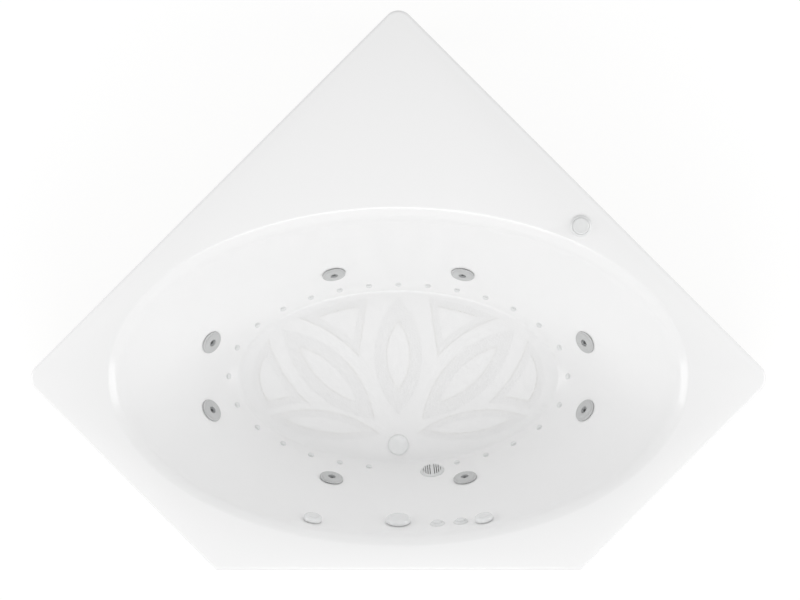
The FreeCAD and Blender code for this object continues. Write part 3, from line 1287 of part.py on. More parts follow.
os.makedirs("parts", exist_ok=True)
BROKEN = [item.Label for item in DOC.Objects
          if "Invalid" in item.State or "Error" in item.State]
for name, item in NODES.items():
    if item.Shape.isNull() or not item.Shape.isValid() or not item.Shape.Solids:
        BROKEN.append(name)
if BROKEN:
    raise SystemExit("failed: " + ", ".join(BROKEN))
for name, item in NODES.items():
    item.Shape.exportStep("parts/" + name + ".step")
    print(name, len(item.Shape.Solids), "solids", round(item.Shape.Volume / 1000), "cm3")
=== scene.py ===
# %% [markdown]
# # A corner bathtub in Blender
# The bath comes in as a fixed frame of engineering parts. This lesson gives every part its real
# finish and models again the small fittings that the eye rests on: jets, injectors, waste plug,
# overflow knob, dials and buttons. The moulded shell, the flanges, the suction cover and the
# buttons' housings are clean copies of their own solids.

# %% Load the frame and keep its box
import bpy
import json
import math
from mathutils import Matrix, Vector


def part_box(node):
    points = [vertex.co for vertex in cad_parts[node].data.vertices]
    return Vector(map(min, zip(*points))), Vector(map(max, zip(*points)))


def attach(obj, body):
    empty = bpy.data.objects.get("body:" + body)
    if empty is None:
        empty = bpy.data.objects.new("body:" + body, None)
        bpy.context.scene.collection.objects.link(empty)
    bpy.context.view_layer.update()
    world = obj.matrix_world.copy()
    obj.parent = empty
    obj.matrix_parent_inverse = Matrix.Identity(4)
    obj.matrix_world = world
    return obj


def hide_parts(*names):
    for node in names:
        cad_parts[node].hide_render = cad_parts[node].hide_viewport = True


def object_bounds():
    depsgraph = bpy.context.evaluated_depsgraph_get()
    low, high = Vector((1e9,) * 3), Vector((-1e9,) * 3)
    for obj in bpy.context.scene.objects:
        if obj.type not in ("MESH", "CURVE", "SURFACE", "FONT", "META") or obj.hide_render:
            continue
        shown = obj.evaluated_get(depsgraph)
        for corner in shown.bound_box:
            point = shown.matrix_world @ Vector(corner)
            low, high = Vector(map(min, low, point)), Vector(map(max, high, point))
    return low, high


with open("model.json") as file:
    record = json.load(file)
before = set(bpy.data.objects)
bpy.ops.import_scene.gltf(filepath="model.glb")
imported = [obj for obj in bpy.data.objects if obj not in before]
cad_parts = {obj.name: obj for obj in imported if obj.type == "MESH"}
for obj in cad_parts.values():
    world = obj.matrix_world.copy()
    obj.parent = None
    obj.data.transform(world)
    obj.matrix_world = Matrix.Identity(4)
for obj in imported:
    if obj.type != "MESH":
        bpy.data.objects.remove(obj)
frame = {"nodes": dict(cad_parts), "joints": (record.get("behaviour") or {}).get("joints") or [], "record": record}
CAD_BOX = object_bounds()
LOW, HIGH = CAD_BOX
MM = 0.001
JOINTS = {joint["name"]: joint for joint in frame["joints"]}


# %% [markdown]
# ## Colours and nodes
# A colour picker shows sRGB, but Blender's sockets want linear light, so one function turns a
# written hex value into linear numbers. Another adds one node with its settings and its links.

# %% Small helpers for materials
def colour(code):
    """An sRGB hex colour as linear red, green, blue and alpha."""
    parts = [int(code[i:i + 2], 16) / 255 for i in (0, 2, 4)]
    return [c / 12.92 if c <= 0.04045 else ((c + 0.055) / 1.055) ** 2.4 for c in parts] + [1.0]


def add_node(material, kind, settings=None, links=None):
    """Adds a node, sets its properties or sockets, and links other nodes' outputs to it."""
    tree = material.node_tree
    made = tree.nodes.new(kind)
    for name, value in (settings or {}).items():
        if isinstance(name, int) or name in made.inputs:
            made.inputs[name].default_value = value
        else:
            setattr(made, name, value)
    for name, output in (links or {}).items():
        tree.links.new(output, made.inputs[name])
    return made


def start_material(name):
    """An empty material with an output node and object coordinates in metres."""
    material = bpy.data.materials.new(name)
    material.use_nodes = True
    material.node_tree.nodes.clear()
    output = add_node(material, "ShaderNodeOutputMaterial")
    place = add_node(material, "ShaderNodeTexCoord").outputs["Object"]
    return material, output, place


def finish_material(material, output, shader):
    """Links the last shader to the output."""
    material.node_tree.links.new(shader.outputs[0], output.inputs["Surface"])
    return material


# %% [markdown]
# ## Sanitary acrylic
# The shell is a sheet of cast acrylic, heated and drawn by vacuum over a mould. Cast acrylic is
# glossy with an IOR of 1.49, and the drawing leaves a faint waviness about 25 mm long. In the
# petals on the floor the mould is grained, so that a foot doesn't slip, and the petals are given a
# slightly darker colour as painted shade of that grain. The petals are sunk by a millimetre, so
# height alone tells the grained part from the polished part.

# %% The acrylic's material
POLISHED, GRAINED = 0.16, 0.42


def acrylic(name, code, petal_edge=None):
    """Polished acrylic, grained below the petals' edge where one is given, with painted shade there."""
    material, output, place = start_material(name)
    wave = add_node(material, "ShaderNodeTexNoise", {"Scale": 1 / (25 * MM), "Detail": 1.0},
                    {"Vector": place})
    soft = add_node(material, "ShaderNodeBump", {"Strength": 0.25, "Distance": 0.06 * MM},
                    {"Height": wave.outputs[0]})
    shader = add_node(material, "ShaderNodeBsdfPrincipled",
                      {"Base Color": colour(code), "Roughness": POLISHED, "IOR": 1.49},
                      {"Normal": soft.outputs[0]})
    if petal_edge is None:
        return finish_material(material, output, shader)
    height = add_node(material, "ShaderNodeSeparateXYZ", {}, {"Vector": place}).outputs["Z"]
    sunk = add_node(material, "ShaderNodeMath", {"operation": "LESS_THAN", 1: petal_edge},
                    {0: height})
    grit = add_node(material, "ShaderNodeTexVoronoi",
                    {"feature": "SMOOTH_F1", "Scale": 1 / (4.5 * MM), "Smoothness": 0.6},
                    {"Vector": place})
    depth = add_node(material, "ShaderNodeMath", {"operation": "MULTIPLY"},
                     {0: grit.outputs["Distance"], 1: sunk.outputs[0]})
    grain = add_node(material, "ShaderNodeBump", {"Strength": 0.5, "Distance": 0.5 * MM},
                     {"Height": depth.outputs[0], "Normal": soft.outputs[0]})
    # The sunk, grained petals take a slightly darker colour: painted shade for their grit.
    tint = add_node(material, "ShaderNodeMix", {"data_type": "RGBA", 6: colour(code),
                                                7: colour("f6f6f6")}, {0: sunk.outputs[0]})
    rough = add_node(material, "ShaderNodeMapRange", {"To Min": POLISHED, "To Max": GRAINED},
                     {"Value": sunk.outputs[0]})
    links = material.node_tree.links
    links.new(tint.outputs[2], shader.inputs["Base Color"])
    links.new(rough.outputs[0], shader.inputs["Roughness"])
    links.new(grain.outputs[0], shader.inputs["Normal"])
    return finish_material(material, output, shader)


FLOOR_LEVEL = 114 * MM
PETAL_EDGE = FLOOR_LEVEL - 0.4 * MM
WET_ACRYLIC = acrylic("cast acrylic, vacuum formed", "fbfbfb", PETAL_EDGE)
PANEL_ACRYLIC = acrylic("acrylic panel", "fafafa")


# %% [markdown]
# ## Fibreglass
# The back of the shell is sprayed with polyester resin and chopped glass strands, then rolled.
# It dries cream coloured and rough, with strands about 30 mm long and 3 mm wide lying every way.
# Two noise patterns, each drawn out ten times and turned against the other, give the strands.

# %% The fibreglass material
def fibreglass():
    material, output, place = start_material("chopped strand fibreglass")
    strands = []
    for turn in ((0.4, 0.6, 0.3), (1.3, 2.2, 1.9)):
        lay = add_node(material, "ShaderNodeMapping", {"vector_type": "TEXTURE", "Rotation": turn,
                                                       "Scale": (10, 1, 1)}, {"Vector": place})
        noise = add_node(material, "ShaderNodeTexNoise", {"Scale": 1 / (3 * MM), "Detail": 2.0},
                         {"Vector": lay.outputs[0]})
        strands.append(noise.outputs[0])
    mat = add_node(material, "ShaderNodeMath", {"operation": "MAXIMUM"},
                   {0: strands[0], 1: strands[1]})
    tone = add_node(material, "ShaderNodeValToRGB", {}, {"Fac": mat.outputs[0]})
    dark, light = tone.color_ramp.elements
    dark.position, dark.color = 0.42, colour("b3a888")
    light.position, light.color = 0.72, colour("ddd5be")
    lumps = add_node(material, "ShaderNodeBump", {"Strength": 0.8, "Distance": 1.2 * MM},
                     {"Height": mat.outputs[0]})
    shader = add_node(material, "ShaderNodeBsdfPrincipled", {"Roughness": 0.48, "IOR": 1.55},
                      {"Base Color": tone.outputs[0], "Normal": lumps.outputs[0]})
    return finish_material(material, output, shader)


FIBREGLASS = fibreglass()


# %% [markdown]
# ## Moulded plastics and rubber
# The fittings are ABS, the pipes PVC and the pump is black glass-filled polypropylene. All are
# injection moulded or extruded: one even colour, a satin or polished skin, and a fine grain from
# the tool, drawn here at about a millimetre so that it shows. A slight cloudiness breaks the tone.

# %% One recipe for moulded plastic
def moulded(name, code, roughness, grain_mm=1.0, grain_depth=0.02, ior=1.5, cloud=0.03):
    """A moulded plastic: its grain's width and depth in millimetres, and how far it clouds."""
    material, output, place = start_material(name)
    blur = add_node(material, "ShaderNodeTexNoise", {"Scale": 1 / (40 * MM), "Detail": 2.0},
                    {"Vector": place})
    tone = add_node(material, "ShaderNodeMapRange", {"From Min": 0.3, "From Max": 0.7,
                                                     "To Min": 1 - cloud, "To Max": 1.0},
                    {"Value": blur.outputs[0]})
    mixed = add_node(material, "ShaderNodeMix",
                     {"data_type": "RGBA", "blend_type": "MULTIPLY", 0: 1.0, 6: colour(code)},
                     {7: tone.outputs[0]})
    grain = add_node(material, "ShaderNodeTexNoise", {"Scale": 1 / (grain_mm * MM), "Detail": 2.0},
                     {"Vector": place})
    bump = add_node(material, "ShaderNodeBump", {"Strength": 0.4, "Distance": grain_depth * MM},
                    {"Height": grain.outputs[0]})
    worn = add_node(material, "ShaderNodeMapRange", {"From Min": 0.3, "From Max": 0.7,
                                                     "To Min": roughness * 0.85,
                                                     "To Max": roughness * 1.15},
                    {"Value": blur.outputs[0]})
    shader = add_node(material, "ShaderNodeBsdfPrincipled", {"IOR": ior},
                      {"Base Color": mixed.outputs[2], "Roughness": worn.outputs[0],
                       "Normal": bump.outputs[0]})
    return finish_material(material, output, shader)


WHITE_ABS = moulded("white ABS, polished", "eeefef", 0.18)
COVER_ABS = moulded("pale grey ABS, polished", "cccdcd", 0.2)
GREY_ABS = moulded("grey ABS, satin", "9a9c9d", 0.3)
STRAINER_ABS = moulded("light grey ABS, satin", "eaebeb", 0.3)
WASTE_PLATE = moulded("waste plug, satin white", "f8f9f9", 0.25)
BODY_ABS = moulded("jet body ABS", "e6e7e4", 0.35)
PIPE_PVC = moulded("white PVC pipe", "e9eae6", 0.32, grain_mm=3.0, grain_depth=0.03, ior=1.53)
HOSE_PVC = moulded("flexible PVC hose", "e2e4e2", 0.4, grain_mm=2.0, grain_depth=0.05, ior=1.53)
NUT_NYLON = moulded("white nylon nut", "dddcd4", 0.45, grain_mm=1.5)
RUBBER = moulded("black EPDM rubber", "2a2b2c", 0.7, grain_mm=0.8, grain_depth=0.05, ior=1.52,
                 cloud=0.15)
PUMP_PP = moulded("black glass-filled polypropylene", "26282a", 0.5, grain_mm=0.7, grain_depth=0.06,
                  ior=1.49, cloud=0.12)
IMPELLER_ACETAL = moulded("amber acetal", "b9a886", 0.4)
MOUNT_PP = moulded("grey polypropylene mount", "5c6063", 0.55, grain_mm=0.8, grain_depth=0.05)
BOX_ABS = moulded("grey control box ABS", "b9bcbe", 0.42, grain_mm=0.9, grain_depth=0.05)
GLAND_NYLON = moulded("black nylon gland", "303234", 0.45)


# %% [markdown]
# ## Metal, timber and board
# Zinc-plated steel has a soft spangle, a painted motor has a fine orange peel, pine shows growth
# rings stretched along each stick, and the base is moisture-resistant chipboard: pressed flakes.

# %% Steel, paint, pine and chipboard
def zinc_plate(name, code, roughness):
    material, output, place = start_material(name)
    spangle = add_node(material, "ShaderNodeTexVoronoi", {"Scale": 1 / (7 * MM)}, {"Vector": place})
    rough = add_node(material, "ShaderNodeMapRange", {"To Min": roughness - 0.08,
                                                      "To Max": roughness + 0.1},
                     {"Value": spangle.outputs["Distance"]})
    tint = add_node(material, "ShaderNodeMapRange", {"To Min": 0.86, "To Max": 1.0},
                    {"Value": spangle.outputs["Distance"]})
    mixed = add_node(material, "ShaderNodeMix",
                     {"data_type": "RGBA", "blend_type": "MULTIPLY", 0: 1.0, 6: colour(code)},
                     {7: tint.outputs[0]})
    shader = add_node(material, "ShaderNodeBsdfPrincipled", {"Metallic": 1.0},
                      {"Base Color": mixed.outputs[2], "Roughness": rough.outputs[0]})
    return finish_material(material, output, shader)


def pine(name, heading):
    """Sawn pine whose growth rings run along a level heading in degrees, or upright."""
    material, output, place = start_material(name)
    drawn_out = (1, 1, 16) if heading == "upright" else (16, 1, 1)
    turn = 0 if heading == "upright" else math.radians(heading)
    lay = add_node(material, "ShaderNodeMapping", {"vector_type": "TEXTURE", "Scale": drawn_out,
                                                   "Rotation": (0, 0, turn)}, {"Vector": place})
    rings = add_node(material, "ShaderNodeTexNoise",
                     {"Scale": 1 / (9 * MM), "Detail": 4.0, "Distortion": 0.6},
                     {"Vector": lay.outputs[0]})
    tone = add_node(material, "ShaderNodeValToRGB", {}, {"Fac": rings.outputs[0]})
    dark, light = tone.color_ramp.elements
    dark.position, dark.color = 0.34, colour("b98f5d")
    light.position, light.color = 0.66, colour("dfc295")
    bump = add_node(material, "ShaderNodeBump", {"Strength": 0.5, "Distance": 0.3 * MM},
                    {"Height": rings.outputs[0]})
    shader = add_node(material, "ShaderNodeBsdfPrincipled", {"Roughness": 0.62, "IOR": 1.45},
                      {"Base Color": tone.outputs[0], "Normal": bump.outputs[0]})
    return finish_material(material, output, shader)


def chipboard():
    material, output, place = start_material("moisture-resistant chipboard")
    flakes = add_node(material, "ShaderNodeTexVoronoi", {"Scale": 1 / (5 * MM)}, {"Vector": place})
    tone = add_node(material, "ShaderNodeValToRGB", {}, {"Fac": flakes.outputs["Color"]})
    dark, light = tone.color_ramp.elements
    dark.position, dark.color = 0.1, colour("9c7f57")
    light.position, light.color = 0.9, colour("cfb58a")
    bump = add_node(material, "ShaderNodeBump", {"Strength": 0.4, "Distance": 0.3 * MM},
                    {"Height": flakes.outputs["Distance"]})
    shader = add_node(material, "ShaderNodeBsdfPrincipled", {"Roughness": 0.7, "IOR": 1.45},
                      {"Base Color": tone.outputs[0], "Normal": bump.outputs[0]})
    return finish_material(material, output, shader)


ZINC = zinc_plate("zinc-plated steel", "c6c9cc", 0.34)
SCREW_ZINC = zinc_plate("bright zinc screw", "cfd1d3", 0.26)
MOTOR_PAINT = moulded("motor enamel, orange peel", "3f464d", 0.34, grain_mm=2.2, grain_depth=0.08)
LEVEL_HEADINGS = (0, 45, 90, -45)
PINE = {heading: pine(f"sawn pine, {heading}", heading) for heading in LEVEL_HEADINGS + ("upright",)}
CHIPBOARD = chipboard()


# %% [markdown]
# ## Materials on the engineering parts
# Parts with the right shape stay as they are and only change their finish. The table says which
# finish each one has.

# %% Dress the engineering parts
FINISHES = {
    PANEL_ACRYLIC: ["apron_front", "apron_sides"],
    BODY_ABS: ["jet_bodies", "suction_body", "overflow_body", "drain_body", "dial_bodies",
               "waste_tee", "feed_tee"],
    PIPE_PVC: ["waste_pipes", "waste_tailpiece"],
    HOSE_PVC: ["air_hoses", "water_hoses", "air_ring_hose", "suction_hose"],
    NUT_NYLON: ["locknuts"],
    RUBBER: ["gaskets"],
    PUMP_PP: ["pump_volute", "blower_housing", "lift_cable"],
    IMPELLER_ACETAL: ["pump_impeller", "blower_fan"],
    MOTOR_PAINT: ["pump_motor"],
    MOUNT_PP: ["machine_mounts"],
    ZINC: ["frame_rails", "levelling_feet"],
    SCREW_ZINC: ["apron_screws"],
    CHIPBOARD: ["base_board"],
    BOX_ABS: ["control_box"],
    GLAND_NYLON: ["cable_gland"],
}


def wear(item, finish):
    """Gives an object one finish all over."""
    item.data.materials.clear()
    item.data.materials.append(finish)


for finish, names in FINISHES.items():
    for name in names:
        wear(frame["nodes"][name], finish)


# %% [markdown]
# ## The shell
# On the real bath one moulding is deck, lip, rolled rim, wall and floor. The solid already has
# that shape, so its mesh is copied, its loose triangles are merged and its curves are shaded
# smooth. A copy can be changed where the frame can't: here the back gets a second finish. A face
# belongs to the wet side if it looks up, into the basin, or outwards from the lip.

# %% A merged copy of a node
BODY_OF = {name: body for body, names in frame["record"]["behaviour"]["bodies"].items()
           for name in names}
COPY_CREASE = 30


def only(item):
    """Selects one object and makes it the active one."""
    bpy.ops.object.select_all(action="DESELECT")
    item.select_set(True)
    bpy.context.view_layer.objects.active = item


def merged_copy(node):
    """Copies a node with its own mesh and merges its loose triangles."""
    item = frame["nodes"][node].copy()
    item.data = item.data.copy()
    item.parent = None
    bpy.context.scene.collection.objects.link(item)
    only(item)
    bpy.ops.mesh.customdata_custom_splitnormals_clear()
    bpy.ops.object.mode_set(mode="EDIT")
    bpy.ops.mesh.select_all(action="SELECT")
    bpy.ops.mesh.remove_doubles(threshold=0.002 * MM)
    bpy.ops.object.mode_set(mode="OBJECT")
    return item


def clean_copy(node, name):
    """A merged copy that has its curves shaded smooth and stands in for its node."""
    item = merged_copy(node)
    item.name = name
    bpy.ops.object.shade_smooth_by_angle(angle=math.radians(COPY_CREASE))
    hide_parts(node)
    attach(item, BODY_OF[node])
    return item


# %% Two finishes on the shell
SHELL = clean_copy("bath_shell", "shell_moulding")
BASIN_MIDDLE = Vector((0, -250 * MM, 0))
RIM_LONG, RIM_SHORT = 841 * MM, 491 * MM
RIM_EDGE = 1.03
UPWARD, INWARD, OUTWARD = 0.3, -0.1, 0.3


def is_wet(face):
    """Whether a face of the shell is polished acrylic and not the sprayed back."""
    out = face.center - BASIN_MIDDLE
    across = Vector((out.x / RIM_LONG, out.y / RIM_SHORT, 0))
    away = Vector((out.x / RIM_LONG ** 2, out.y / RIM_SHORT ** 2, 0)).normalized()
    facing = face.normal.dot(away)
    if across.length < RIM_EDGE:
        return face.normal.z > UPWARD or facing < INWARD
    return face.normal.z > UPWARD or facing > OUTWARD


SHELL.data.materials.clear()
SHELL.data.materials.append(WET_ACRYLIC)
SHELL.data.materials.append(FIBREGLASS)
for face in SHELL.data.polygons:
    face.material_index = 0 if is_wet(face) else 1
print("shell faces", len(SHELL.data.polygons), "wet",
      sum(face.material_index == 0 for face in SHELL.data.polygons))


# %% [markdown]
# ## Turned pieces
# Most fittings are round about one axis. As on a lathe, a piece starts from a circle, and each
# step extrudes that edge, moves it up or down and scales it to the next radius. The piece is made
# about the Z axis and then moved to its place, which is applied to its mesh.

# %% A lathe made of extrusions
TURNED_CREASE = 28


def settle(item, place, finish):
    """Moves a piece to its place, shades its curves smooth and gives it its finish."""
    only(item)
    item.data.transform(place)
    bpy.ops.object.shade_smooth_by_angle(angle=math.radians(TURNED_CREASE))
    wear(item, finish)


def turned(name, profile, place, finish, sides=64, closed=False):
    """A piece turned about Z from (radius, height) steps in millimetres, with flat ends unless it
    is closed, as a ring is."""
    bpy.ops.object.select_all(action="DESELECT")
    radius, height = profile[0][0] * MM, profile[0][1] * MM
    bpy.ops.mesh.primitive_circle_add(vertices=sides, radius=radius, location=(0, 0, height))
    item = bpy.context.object
    item.name = name
    bpy.ops.object.transform_apply(location=True, rotation=True, scale=True)
    bpy.ops.object.mode_set(mode="EDIT")
    bpy.ops.mesh.select_all(action="SELECT")
    for next_radius, next_height in profile[1:]:
        next_radius, next_height = next_radius * MM, next_height * MM
        bpy.ops.mesh.extrude_region_move(
            TRANSFORM_OT_translate={"value": (0, 0, next_height - height)})
        ratio = next_radius / radius
        bpy.ops.transform.resize(value=(ratio, ratio, 1), center_override=(0, 0, next_height))
        radius, height = next_radius, next_height
    if not closed:
        bpy.ops.mesh.edge_face_add()
        bpy.ops.mesh.select_all(action="DESELECT")
        bpy.ops.object.mode_set(mode="OBJECT")
        for vertex in item.data.vertices[:sides]:
            vertex.select = True
        bpy.ops.object.mode_set(mode="EDIT")
        bpy.ops.mesh.edge_face_add()
    bpy.ops.mesh.select_all(action="SELECT")
    bpy.ops.mesh.remove_doubles(threshold=0.001 * MM)
    bpy.ops.mesh.normals_make_consistent(inside=False)
    bpy.ops.object.mode_set(mode="OBJECT")
    settle(item, place, finish)
    return item


# %% Place, cut, join and copy
UPRIGHT = 0.001


def standing(point, axis):
    """The place of a fitting: Z along its axis, X level, Y up the wall."""
    axis = Vector(axis).normalized()
    level = Vector((0, 0, 1)).cross(axis)
    level = level.normalized() if level.length > UPRIGHT else Vector((1, 0, 0))
    rows = Matrix((level, axis.cross(level), axis)).transposed().to_4x4()
    return Matrix.Translation(Vector(point)) @ rows


def carve(item, blade):
    """Cuts one mesh out of another and throws the blade away."""
    only(item)
    cut = item.modifiers.new("cut", "BOOLEAN")
    cut.operation, cut.object, cut.solver = "DIFFERENCE", blade, "EXACT"
    bpy.ops.object.modifier_apply(modifier="cut")
    bpy.data.objects.remove(blade, do_unlink=True)


def block(low, high):
    """A box between two corners in millimetres, with its place in its mesh."""
    bpy.ops.object.select_all(action="DESELECT")
    bpy.ops.mesh.primitive_cube_add(size=1)
    item = bpy.context.object
    low, high = Vector(low) * MM, Vector(high) * MM
    item.data.transform(Matrix.Translation((low + high) / 2) @ Matrix.Diagonal((high - low).to_4d()))
    return item


def merged(items):
    """Joins several meshes into the first one."""
    bpy.ops.object.select_all(action="DESELECT")
    for item in items:
        item.select_set(True)
    bpy.context.view_layer.objects.active = items[0]
    bpy.ops.object.join()
    return items[0]


def twin(item, name, place):
    """A copy with its own mesh at another place."""
    copy = item.copy()
    copy.data = item.data.copy()
    copy.name = name
    bpy.context.scene.collection.objects.link(copy)
    copy.data.transform(place)
    return copy


# %% [markdown]
# ## Water jets
# A water jet has a round cover of polished ABS that turns to set the air, and in its mouth an
# eyeball of satin ABS that tilts on two pivots to aim the water. The cover is turned with a fine
# groove near its rim; the eyeball is a sphere cut flat, with a flared bore. One of each is made
# at the origin and then copied to the eight places, which the joints give: the cover's joint is
# at the wall, and its axis is the jet's own axis.

# %% Jet covers and eyeballs
JETS = 8
COVER_STEPS = [(31.4, 2.3), (34, 2.3), (34, 4.9), (33.6, 5.6), (32.8, 6.0), (31.0, 6.6), (29.3, 6.9),
               (28.9, 6.4), (28.2, 6.4), (27.8, 7.1), (25, 7.6), (21, 8.0), (17, 8.35), (14, 8.6),
               (12, 8.55), (10.9, 8.2), (10.4, 7.5), (10.4, 5.6), (12.3, 5.0), (12.3, -7),
               (16.9, -7), (16.9, 5.0), (31.4, 5.0), (31.4, 2.3)]
BALL, BALL_SINK = 12, -1
BALL_FOOT, BALL_MOUTH, BALL_STEP = -55, 45, 10
EYEBALL_STEPS = [(BALL * math.cos(math.radians(a)), BALL_SINK + BALL * math.sin(math.radians(a)))
                 for a in range(BALL_FOOT, BALL_MOUTH + 1, BALL_STEP)]
EYEBALL_STEPS += [(7.9, 7.45), (7.2, 7.1), (5.0, 4.6), (5.0, -10.8), EYEBALL_STEPS[0]]
PIVOT_STEPS = [(2, 6), (2, 14.6), (1.6, 15)]
BALL_MIDDLE = Matrix.Translation((0, 0, BALL_SINK * MM))

cover = turned("jet_cover", COVER_STEPS, Matrix(), COVER_ABS, closed=True)
eyeball = turned("jet_eyeball", EYEBALL_STEPS, Matrix(), GREY_ABS, sides=48, closed=True)
pivots = [turned("jet_pivot", PIVOT_STEPS,
                 BALL_MIDDLE @ Matrix.Rotation(math.radians(side), 4, "Y"), GREY_ABS, sides=24)
          for side in (90, -90)]
eyeball = merged([eyeball] + pivots)
for number in range(1, JETS + 1):
    joint = JOINTS[f"jet_ring_{number}_turn"]
    place = standing(joint["pos_m"], joint["axis"])
    for kind, master in (("ring", cover), ("nozzle", eyeball)):
        node = f"jet_{kind}_{number}"
        piece = twin(master, f"{node}_piece", place)
        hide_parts(node)
        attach(piece, node)
bpy.data.objects.remove(cover, do_unlink=True)
bpy.data.objects.remove(eyeball, do_unlink=True)
pivot_axis = Vector(JOINTS[f"jet_nozzle_{JETS}_tilt"]["axis"])
print("the last jet is at", [round(v, 3) for v in place.translation], "and its pivots are off by",
      round(1 - abs(place.col[0].to_3d().dot(pivot_axis)), 5))


# %% [markdown]
# ## Injectors, waste, suction and housings
# The waste has a flange screwed down on a gasket, the suction cover is a domed grille, so that
# hair can't be drawn in, and the overflow and the wall's buttons sit on round bases. Their solids
# have these forms, so clean copies with smooth curves are enough. The air injectors are small
# domed caps with a slot on the uphill side: one is turned and copied to where each solid stands.

# %% Clean copies of the small round fittings
for node, finish in (("drain_flange", WASTE_PLATE), ("overflow_flange", WHITE_ABS),
                     ("suction_cover", STRAINER_ABS), ("button_housings", WHITE_ABS)):
    wear(clean_copy(node, node + "_piece"), finish)


# %% Take a node apart
def loose_parts(node):
    """Separates a merged copy of a node into its loose parts."""
    merged_copy(node)
    bpy.ops.object.mode_set(mode="EDIT")
    bpy.ops.mesh.separate(type="LOOSE")
    bpy.ops.object.mode_set(mode="OBJECT")
    return list(bpy.context.selected_objects)


STEM, SEAT = 31, 0.3


def stem_place(points):
    """The place of an injector from its points: Z along its stem, Y up the wall."""
    middle = sum(points, Vector()) / len(points)
    foot = max(points, key=lambda point: (point - middle).length)
    axis = (middle - foot).normalized()
    for reach in (3, 2, 1, 0.5, 0.3):
        low = min(point.dot(axis) for point in points)
        tail = [point for point in points if point.dot(axis) < low + reach * MM]
        foot = sum(tail, Vector()) / len(tail)
        seat = [point for point in points
                if abs((point - foot).dot(axis) - (STEM + SEAT) * MM) < reach * MM]
        axis = (sum(seat, Vector()) / len(seat) - foot).normalized()
    return standing(foot + axis * STEM * MM, axis)


# %% Air injectors
INJECTOR_STEPS = [(4, -STEM), (4.7, -29), (4, -26), (4.7, -24), (4, -21), (4, SEAT), (8.5, SEAT),
                  (8.5, 1.0), (8.2, 1.6), (7.4, 2.2), (6.2, 2.7), (4.9, 3.1), (3, 3.2), (0.5, 3.2)]
AIR_SLOT = (-4.25, 4.5, 1.3), (4.25, 6.5, 6)
injector = turned("injector", INJECTOR_STEPS, Matrix(), WHITE_ABS, sides=32)
carve(injector, block(*AIR_SLOT))
parts = loose_parts("air_injectors")
for number, part in enumerate(parts, start=1):
    piece = twin(injector, f"injector_{number}", stem_place([v.co for v in part.data.vertices]))
    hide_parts("air_injectors")
    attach(piece, "bath")
    bpy.data.objects.remove(part, do_unlink=True)
bpy.data.objects.remove(injector, do_unlink=True)
print("injectors", len(parts))


# %% [markdown]
# ## Timber
# The deck's posts and battens are sawn pine. Each stick is its own piece here, because the grain
# runs along it. The direction in which a stick reaches furthest, of five, says which pine it gets.

# %% Posts and battens
HEADINGS = {heading: Vector((math.cos(math.radians(heading)), math.sin(math.radians(heading)), 0))
            for heading in LEVEL_HEADINGS}
HEADINGS["upright"] = Vector((0, 0, 1))


def lie_of(stick):
    """The heading along which a stick reaches furthest."""
    def reach(heading):
        along = [vertex.co.dot(HEADINGS[heading]) for vertex in stick.data.vertices]
        return max(along) - min(along)
    return max(HEADINGS, key=reach)


sticks = loose_parts("timber_frame")
for number, stick in enumerate(sticks, start=1):
    stick.name = f"timber_{number}"
    wear(stick, PINE[lie_of(stick)])
    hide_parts("timber_frame")
    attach(stick, "bath")
print("timbers", len(sticks))


# %% [markdown]
# ## Plug, knobs and buttons
# The overflow knob is turned by hand to lift the waste plug through a cable, and a notch at its
# foot lets the water in. The two air dials are low knobs, and the three buttons are caps on
# springs. All are turned pieces with rounded shoulders; the notch is cut with a boolean.

# %% Overflow knob
KNOB_STEPS = [(5, -16), (5, 15), (17.5, 15), (32.5, 8), (32.5, 3.2), (35.5, 3.2), (35.5, 7),
              (35.3, 10), (34.6, 12.6), (33, 15), (30.5, 17), (27, 18.3), (22, 19.2), (15, 19.8),
              (8, 20), (0.5, 20)]
NOTCH = (-14, -38, 2), (14, -25.5, 9)
joint = JOINTS["overflow_knob_turn"]
knob = turned("overflow_knob_piece", KNOB_STEPS, Matrix(), WHITE_ABS, sides=96)
carve(knob, block(*NOTCH))
knob.data.transform(standing(joint["pos_m"], joint["axis"]))
bpy.ops.object.shade_smooth_by_angle(angle=math.radians(TURNED_CREASE))
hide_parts("overflow_knob")
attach(knob, "overflow_knob")

# %% Waste plug
PLUG_STEPS = [(4, -38), (4, 2.6), (27.4, 2.6), (28, 3.0), (28, 3.6), (27.4, 4.4), (25, 5.1),
              (21, 5.8), (16, 6.4), (8, 6.75), (0.5, 6.8)]
PLUG_TOP = PLUG_STEPS[-1][1] * MM
low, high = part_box("drain_stopper")
plug_middle = Vector(((low.x + high.x) / 2, (low.y + high.y) / 2, high.z - PLUG_TOP))
plug = turned("waste_plug", PLUG_STEPS, Matrix.Translation(plug_middle), WASTE_PLATE, sides=72)
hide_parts("drain_stopper")
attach(plug, "drain_stopper")

# %% Air dials
DIAL_STEPS = [(6, -14), (6, 9), (24, 9), (24, 3), (26.5, 3), (26.5, 7), (26.3, 9.5), (25.4, 12),
              (24, 13.8), (22, 15.1), (19.5, 15.8), (17.5, 16), (16.5, 15.6), (10, 15.3), (0.5, 15.2)]
for side in ("left", "right"):
    joint = JOINTS[f"air_dial_{side}_turn"]
    dial = turned(f"air_dial_{side}_piece", DIAL_STEPS, standing(joint["pos_m"], joint["axis"]),
                  WHITE_ABS, sides=72)
    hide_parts(f"air_dial_{side}")
    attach(dial, f"air_dial_{side}")


# %% Push buttons
def highest_disc(node, axis):
    """Where a round node's top face meets its own axis."""
    points = [vertex.co for vertex in frame["nodes"][node].data.vertices]
    axis = Vector(axis).normalized()
    top = max(point.dot(axis) for point in points)
    foot = min(point.dot(axis) for point in points)
    ring = [point for point in points if point.dot(axis) < foot + 0.5 * MM]
    middle = sum(ring, Vector()) / len(ring)
    return middle + axis * (top - middle.dot(axis))


